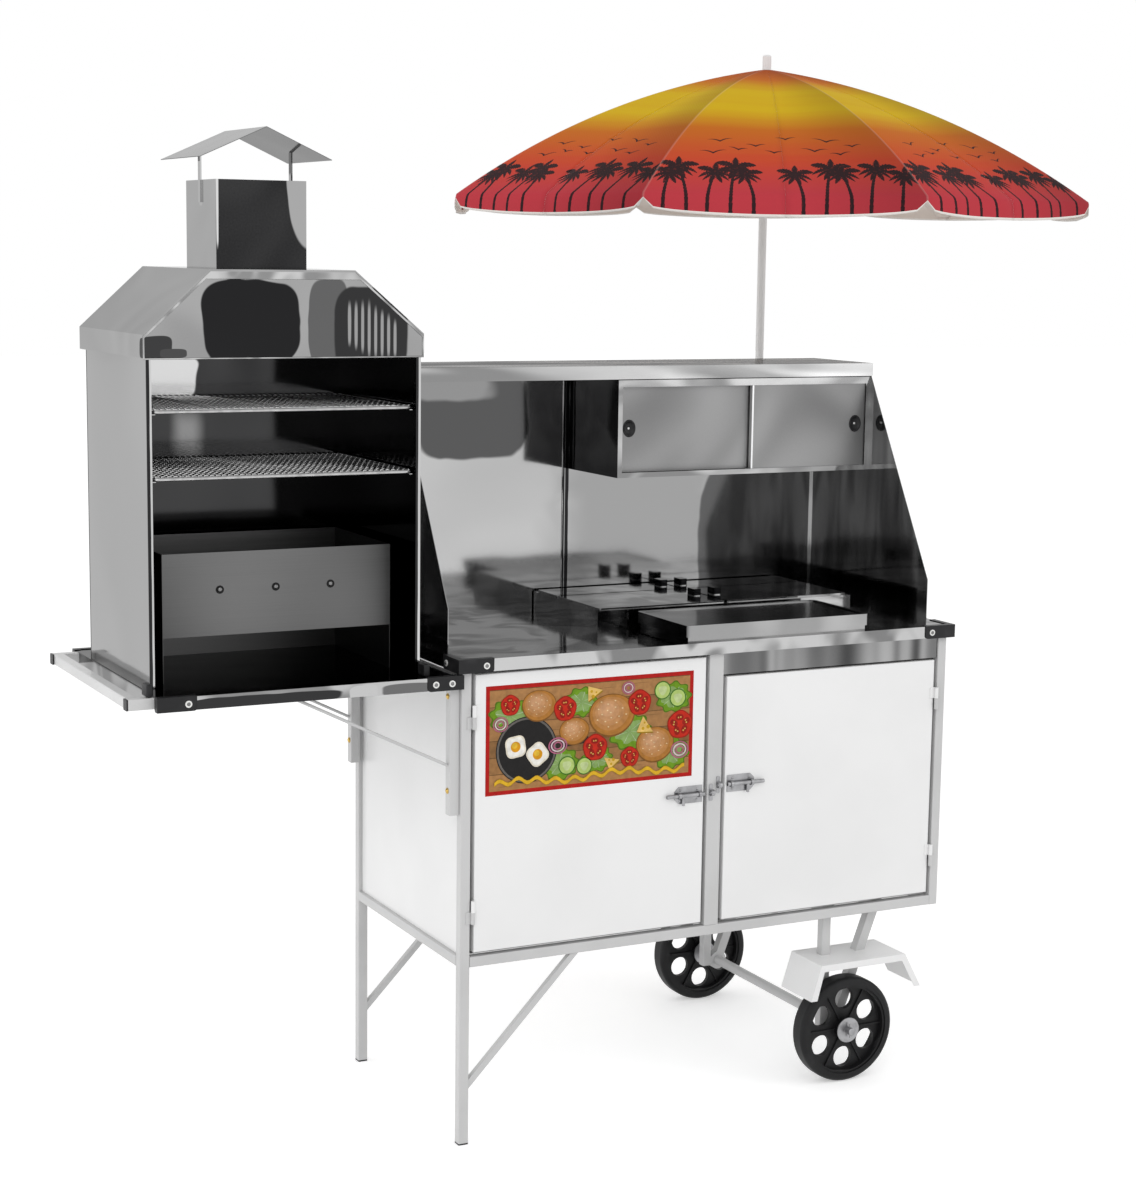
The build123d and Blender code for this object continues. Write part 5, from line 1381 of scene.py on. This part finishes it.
class CART_OT_add_canopy(bpy.types.Operator):
    """Sews the parasol's cloth: one gore on each rib, joined halfway to the next rib"""

    bl_idname = "cart.add_canopy"
    bl_label = "Add the canopy"

    half_turn = math.pi / RIB_COUNT
    # Share of the half turn that a gore covers, just short of its neighbour
    cover = 0.9997
    across = 14
    rows = 34
    hem_rows = (0.2, 0.42, 0.64, 0.82, 0.93, 1.0)
    # Waves round the whole hem, and the gap under the next gore at the seam and further out at the hem
    waves, lap, hem_lap = 27, 0.0006, 0.0036

    def rib_line(self, cut, pivot_radius, pivot_height, share):
        """Radius and height of the cloth over a rib, and the length left, at a share of the rib's chord."""
        run = cut.rib_circle - pivot_radius
        slope = math.atan2(cut.tip_drop, run)
        chord = math.hypot(run, cut.tip_drop)
        rise = 4 * cut.sagitta * share * (1 - share) + cut.lift
        return (
            pivot_radius + share * chord * math.cos(slope) + rise * math.sin(slope),
            pivot_height - share * chord * math.sin(slope) + rise * math.cos(slope),
            (1 - share) * chord,
        )

    def cloth_point(self, cut, pivot, facing, share, past, turn):
        """Reach from the pole, height, and place up the print of one point of the cloth."""
        radius, height, up = self.rib_line(cut, *pivot, share)
        between = abs(turn) / self.half_turn
        middle = math.sin(between * math.pi / 2)
        bow = math.cos(self.half_turn) / math.cos(self.half_turn - abs(turn))
        lower = 1 + cut.uneven * math.cos(facing + turn - cut.low_side)
        depth = (cut.valance_at_rib + (cut.valance - cut.valance_at_rib) * middle ** 0.24) * lower
        along = max(0.0, share)
        wave = cut.flutter * along ** 6 * middle * math.sin(self.waves * (facing + turn))
        tuck = cut.sag * (1 - math.cos(between * math.pi)) / 2 * math.sin(along * math.pi)
        reach = radius * bow + wave + cut.roll * depth * math.sin(past * math.pi / 2)
        return reach, height - tuck - past * (0.25 + 0.75 * past) * depth, up - past * depth

    def flap_columns(self, cut, reach, share, past):
        """Turn and inset of the seam allowance, which lies under the next gore and closes the seam."""
        half_chord = reach * math.sin(self.half_turn)
        width = min(0.8 * half_chord, cut.flap) * (1 - 0.25 * max(0.0, share) ** 6) * (1 - 0.5 * past)
        inset = cut.thickness + self.lap + self.hem_lap * past
        fall = cut.droop * (1 + 1.3 * (1 - share) ** 2) * (1 - 0.6 * max(0.0, share) ** 5) * width
        return [
            (self.half_turn + width * part / reach, inset * sunk + fall * max(0.0, part))
            for part, sunk in ((-0.2, 0.3), (0.0, 1.0), (0.5, 1.0), (1.0, 1.0))
        ]

    def gore(self, cut, pole, facing, pivot_radius, pivot_height):
        """A builder of one sheet: the half panels on both sides of a rib, with a seam allowance on one."""
        first = (cut.eye - pivot_radius) / (cut.rib_circle - pivot_radius)
        pivot = (pivot_radius, pivot_height)
        step_turn = self.cover * self.half_turn / self.across
        plain = [(step_turn * step, 0.0) for step in range(-self.across, self.across + 1)]
        valance = (0.0,) * (self.rows + 1) + self.hem_rows
        on_rib = 1e-6

        def build(shape):
            uv = shape.loops.layers.uv.new("print")
            seam = shape.verts.layers.float.new("seam")
            flat = {}

            def stitch(line, following, material):
                for left, right, low_left, low_right in zip(line, line[1:], following, following[1:]):
                    face = shape.faces.new((left, low_left, low_right, right))
                    face.smooth = True
                    face.material_index = material
                    left_panel = flat[left][2] < -on_rib
                    for loop in face.loops:
                        x, y, turn = flat[loop.vert]
                        loop[uv].uv = (-x if left_panel and abs(turn) < on_rib else x, y)

            def run(columns, share, past):
                line = []
                for turn, inset in columns:
                    reach, height, up = self.cloth_point(cut, pivot, facing, share, past, turn)
                    panel = turn + self.half_turn if turn < -on_rib else turn - self.half_turn
                    away = reach - inset * (0.35 + 0.65 * past)
                    x, y = around(pole.x, pole.y, away, facing + turn)
                    point = shape.verts.new((x, y, height - inset * (0.94 - 0.7 * past)))
                    point[seam] = abs(reach * math.sin(turn))
                    flat[point] = (reach * math.sin(panel), up, turn)
                    line.append(point)
                return line

            cloth, flap = [], []
            for row, past in enumerate(valance):
                share = min(1.0, first + (1 - first) * row / self.rows)
                cloth.append(run(plain, share, past))
                if share > 0.04 and past < 0.9:
                    reach = self.cloth_point(cut, pivot, facing, share, past, self.half_turn)[0]
                    flap.append(run(self.flap_columns(cut, reach, share, past), share, past))
            for row, (line, following) in enumerate(zip(cloth, cloth[1:])):
                stitch(line, following, 2 if row == len(valance) - 2 else 0)
            for line, following in zip(flap, flap[1:]):
                stitch(line, following, 0)

        return build

    def execute(self, context):
        cut = context.scene.cart_parasol
        low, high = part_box("umbrella_pole")
        pole = (low + high) / 2
        cloths = [
            printed_cloth("parasol_print"), plain_cloth("parasol_lining", cut.lining),
            plain_cloth("hem_tape", (0.82, 0.78, 0.74)),
        ]
        for rib in range(1, RIB_COUNT + 1):
            pivot = Vector(JOINTS[f"rib_{rib}_pivot"]["pos_m"])
            out = Vector((pivot.x - pole.x, pivot.y - pole.y, 0))
            facing = math.atan2(out.y, out.x)
            mesh = mesh_from("gore", self.gore(cut, pole, facing, out.length, pivot.z), *cloths)
            piece = link_object(f"canopy_gore_{rib}", mesh)
            wall = piece.modifiers.new("cloth", "SOLIDIFY")
            wall.thickness = cut.thickness
            wall.offset = -1.0
            wall.material_offset = 1
            wall.material_offset_rim = 2
            hand_over(piece, f"umbrella_rib_{rib}")
            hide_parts("umbrella_canopy")
            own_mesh(piece)
        return {"FINISHED"}


class CART_OT_add_stage(bpy.types.Operator):
    """Sets the floor, light and camera"""

    bl_idname = "cart.add_stage"
    bl_label = "Set the stage"

    def floor(self, stage):
        half = 30.0
        corners = [(-half, -half, 0), (half, -half, 0), (half, half, 0), (-half, half, 0)]
        mesh = bpy.data.meshes.new("stage_floor")
        mesh.from_pydata(corners, [], [(0, 1, 2, 3)])
        mesh.materials.append(floor_paint("stage_floor", stage.floor, stage.floor_lift))
        link_object("stage_floor", mesh)

    def room(self, stage):
        world = bpy.data.worlds.new("stage_room")
        world.use_nodes = True
        world.node_tree.nodes.clear()
        graph = Graph(world.node_tree)
        light, backdrop = (
            graph.add("ShaderNodeBackground", {"Color": (1, 1, 1, 1), "Strength": strength})
            for strength in (stage.room_light, 1.0)
        )
        both = graph.add("ShaderNodeMixShader", {0: seen(graph), 1: light, 2: backdrop})
        graph.place("ShaderNodeOutputWorld", {"Surface": both})
        bpy.context.scene.world = world

    def lamp(self, name, place, aim, size, watts):
        light = bpy.data.lights.new(name, "AREA")
        light.size = size
        light.energy = watts
        lamp = link_object(name, light)
        lamp.location = place
        lamp.rotation_euler = (Vector(aim) - Vector(place)).to_track_quat("-Z", "Y").to_euler()

    def camera(self, stage):
        yaw, pitch, roll = stage.camera_yaw, stage.camera_pitch, stage.camera_roll
        forward = Vector((math.sin(yaw) * math.cos(pitch), math.cos(yaw) * math.cos(pitch), -math.sin(pitch)))
        level = Vector((math.cos(yaw), -math.sin(yaw), 0))
        upright = level.cross(forward)
        right = level * math.cos(roll) + upright * math.sin(roll)
        up = upright * math.cos(roll) - level * math.sin(roll)
        data = bpy.data.cameras.new("photo_camera")
        data.sensor_fit = "VERTICAL"
        data.sensor_height = 36.0
        data.lens = stage.focal_pixels / stage.picture_height * data.sensor_height
        camera = link_object("photo_camera", data)
        turned = Matrix((right, up, -forward)).transposed().to_4x4()
        camera.matrix_world = Matrix.Translation(from_leg(*stage.camera_place)) @ turned
        bpy.context.scene.camera = camera

    def execute(self, context):
        stage = context.scene.cart_stage
        self.floor(stage)
        self.room(stage)
        self.lamp("key_lamp", (-2.6, -4.2, 3.6), (0, 0, 0.9), 3.5, stage.key_power)
        self.lamp("fill_lamp", (3.4, -3.6, 2.6), (0, 0, 0.9), 3.0, stage.fill_power)
        self.lamp("side_lamp", (-4.6, 0.6, 1.6), (0, 0, 0.7), 3.0, stage.side_power)
        self.camera(stage)
        context.scene.view_settings.view_transform = "Standard"
        return {"FINISHED"}


SETTINGS = {
    "cart_finish": CartFinishSettings,
    "cart_parasol": CartParasolSettings,
    "cart_sign": CartSignSettings,
    "cart_hardware": CartHardwareSettings,
    "cart_stage": CartStageSettings,
}

OPERATORS = (
    CART_OT_finish_paint, CART_OT_finish_steel, CART_OT_finish_small_parts, CART_OT_add_fasteners,
    CART_OT_add_rack_mesh, CART_OT_add_finger_pulls, CART_OT_add_tower_clips, CART_OT_add_hood_rim,
    CART_OT_add_sign, CART_OT_add_canopy, CART_OT_add_stage,
)


class CART_PT_dresser(bpy.types.Panel):
    """Lists the cart's settings and steps"""

    bl_idname = "CART_PT_dresser"
    bl_label = "Street cart"
    bl_space_type = "VIEW_3D"
    bl_region_type = "UI"
    bl_category = "Cart"

    def draw(self, context):
        for name, kind in SETTINGS.items():
            box = self.layout.box()
            box.label(text=kind.__doc__)
            settings = getattr(context.scene, name)
            for key in kind.__annotations__:
                box.prop(settings, key)
        for operator in OPERATORS:
            self.layout.operator(operator.bl_idname)


CLASSES = (*SETTINGS.values(), *OPERATORS, CART_PT_dresser)


def register():
    for kind in CLASSES:
        bpy.utils.register_class(kind)
    for name, kind in SETTINGS.items():
        setattr(bpy.types.Scene, name, PointerProperty(type=kind))


def unregister():
    for name in SETTINGS:
        delattr(bpy.types.Scene, name)
    for kind in reversed(CLASSES):
        bpy.utils.unregister_class(kind)


def main():
    register()
    bpy.ops.cart.finish_paint()
    bpy.ops.cart.finish_steel()
    bpy.ops.cart.finish_small_parts()
    bpy.ops.cart.add_fasteners()
    bpy.ops.cart.add_rack_mesh()
    bpy.ops.cart.add_finger_pulls()
    bpy.ops.cart.add_tower_clips()
    bpy.ops.cart.add_hood_rim()
    bpy.ops.cart.add_sign()
    bpy.ops.cart.add_canopy()
    bpy.ops.cart.add_stage()


if __name__ == "__main__":
    main()
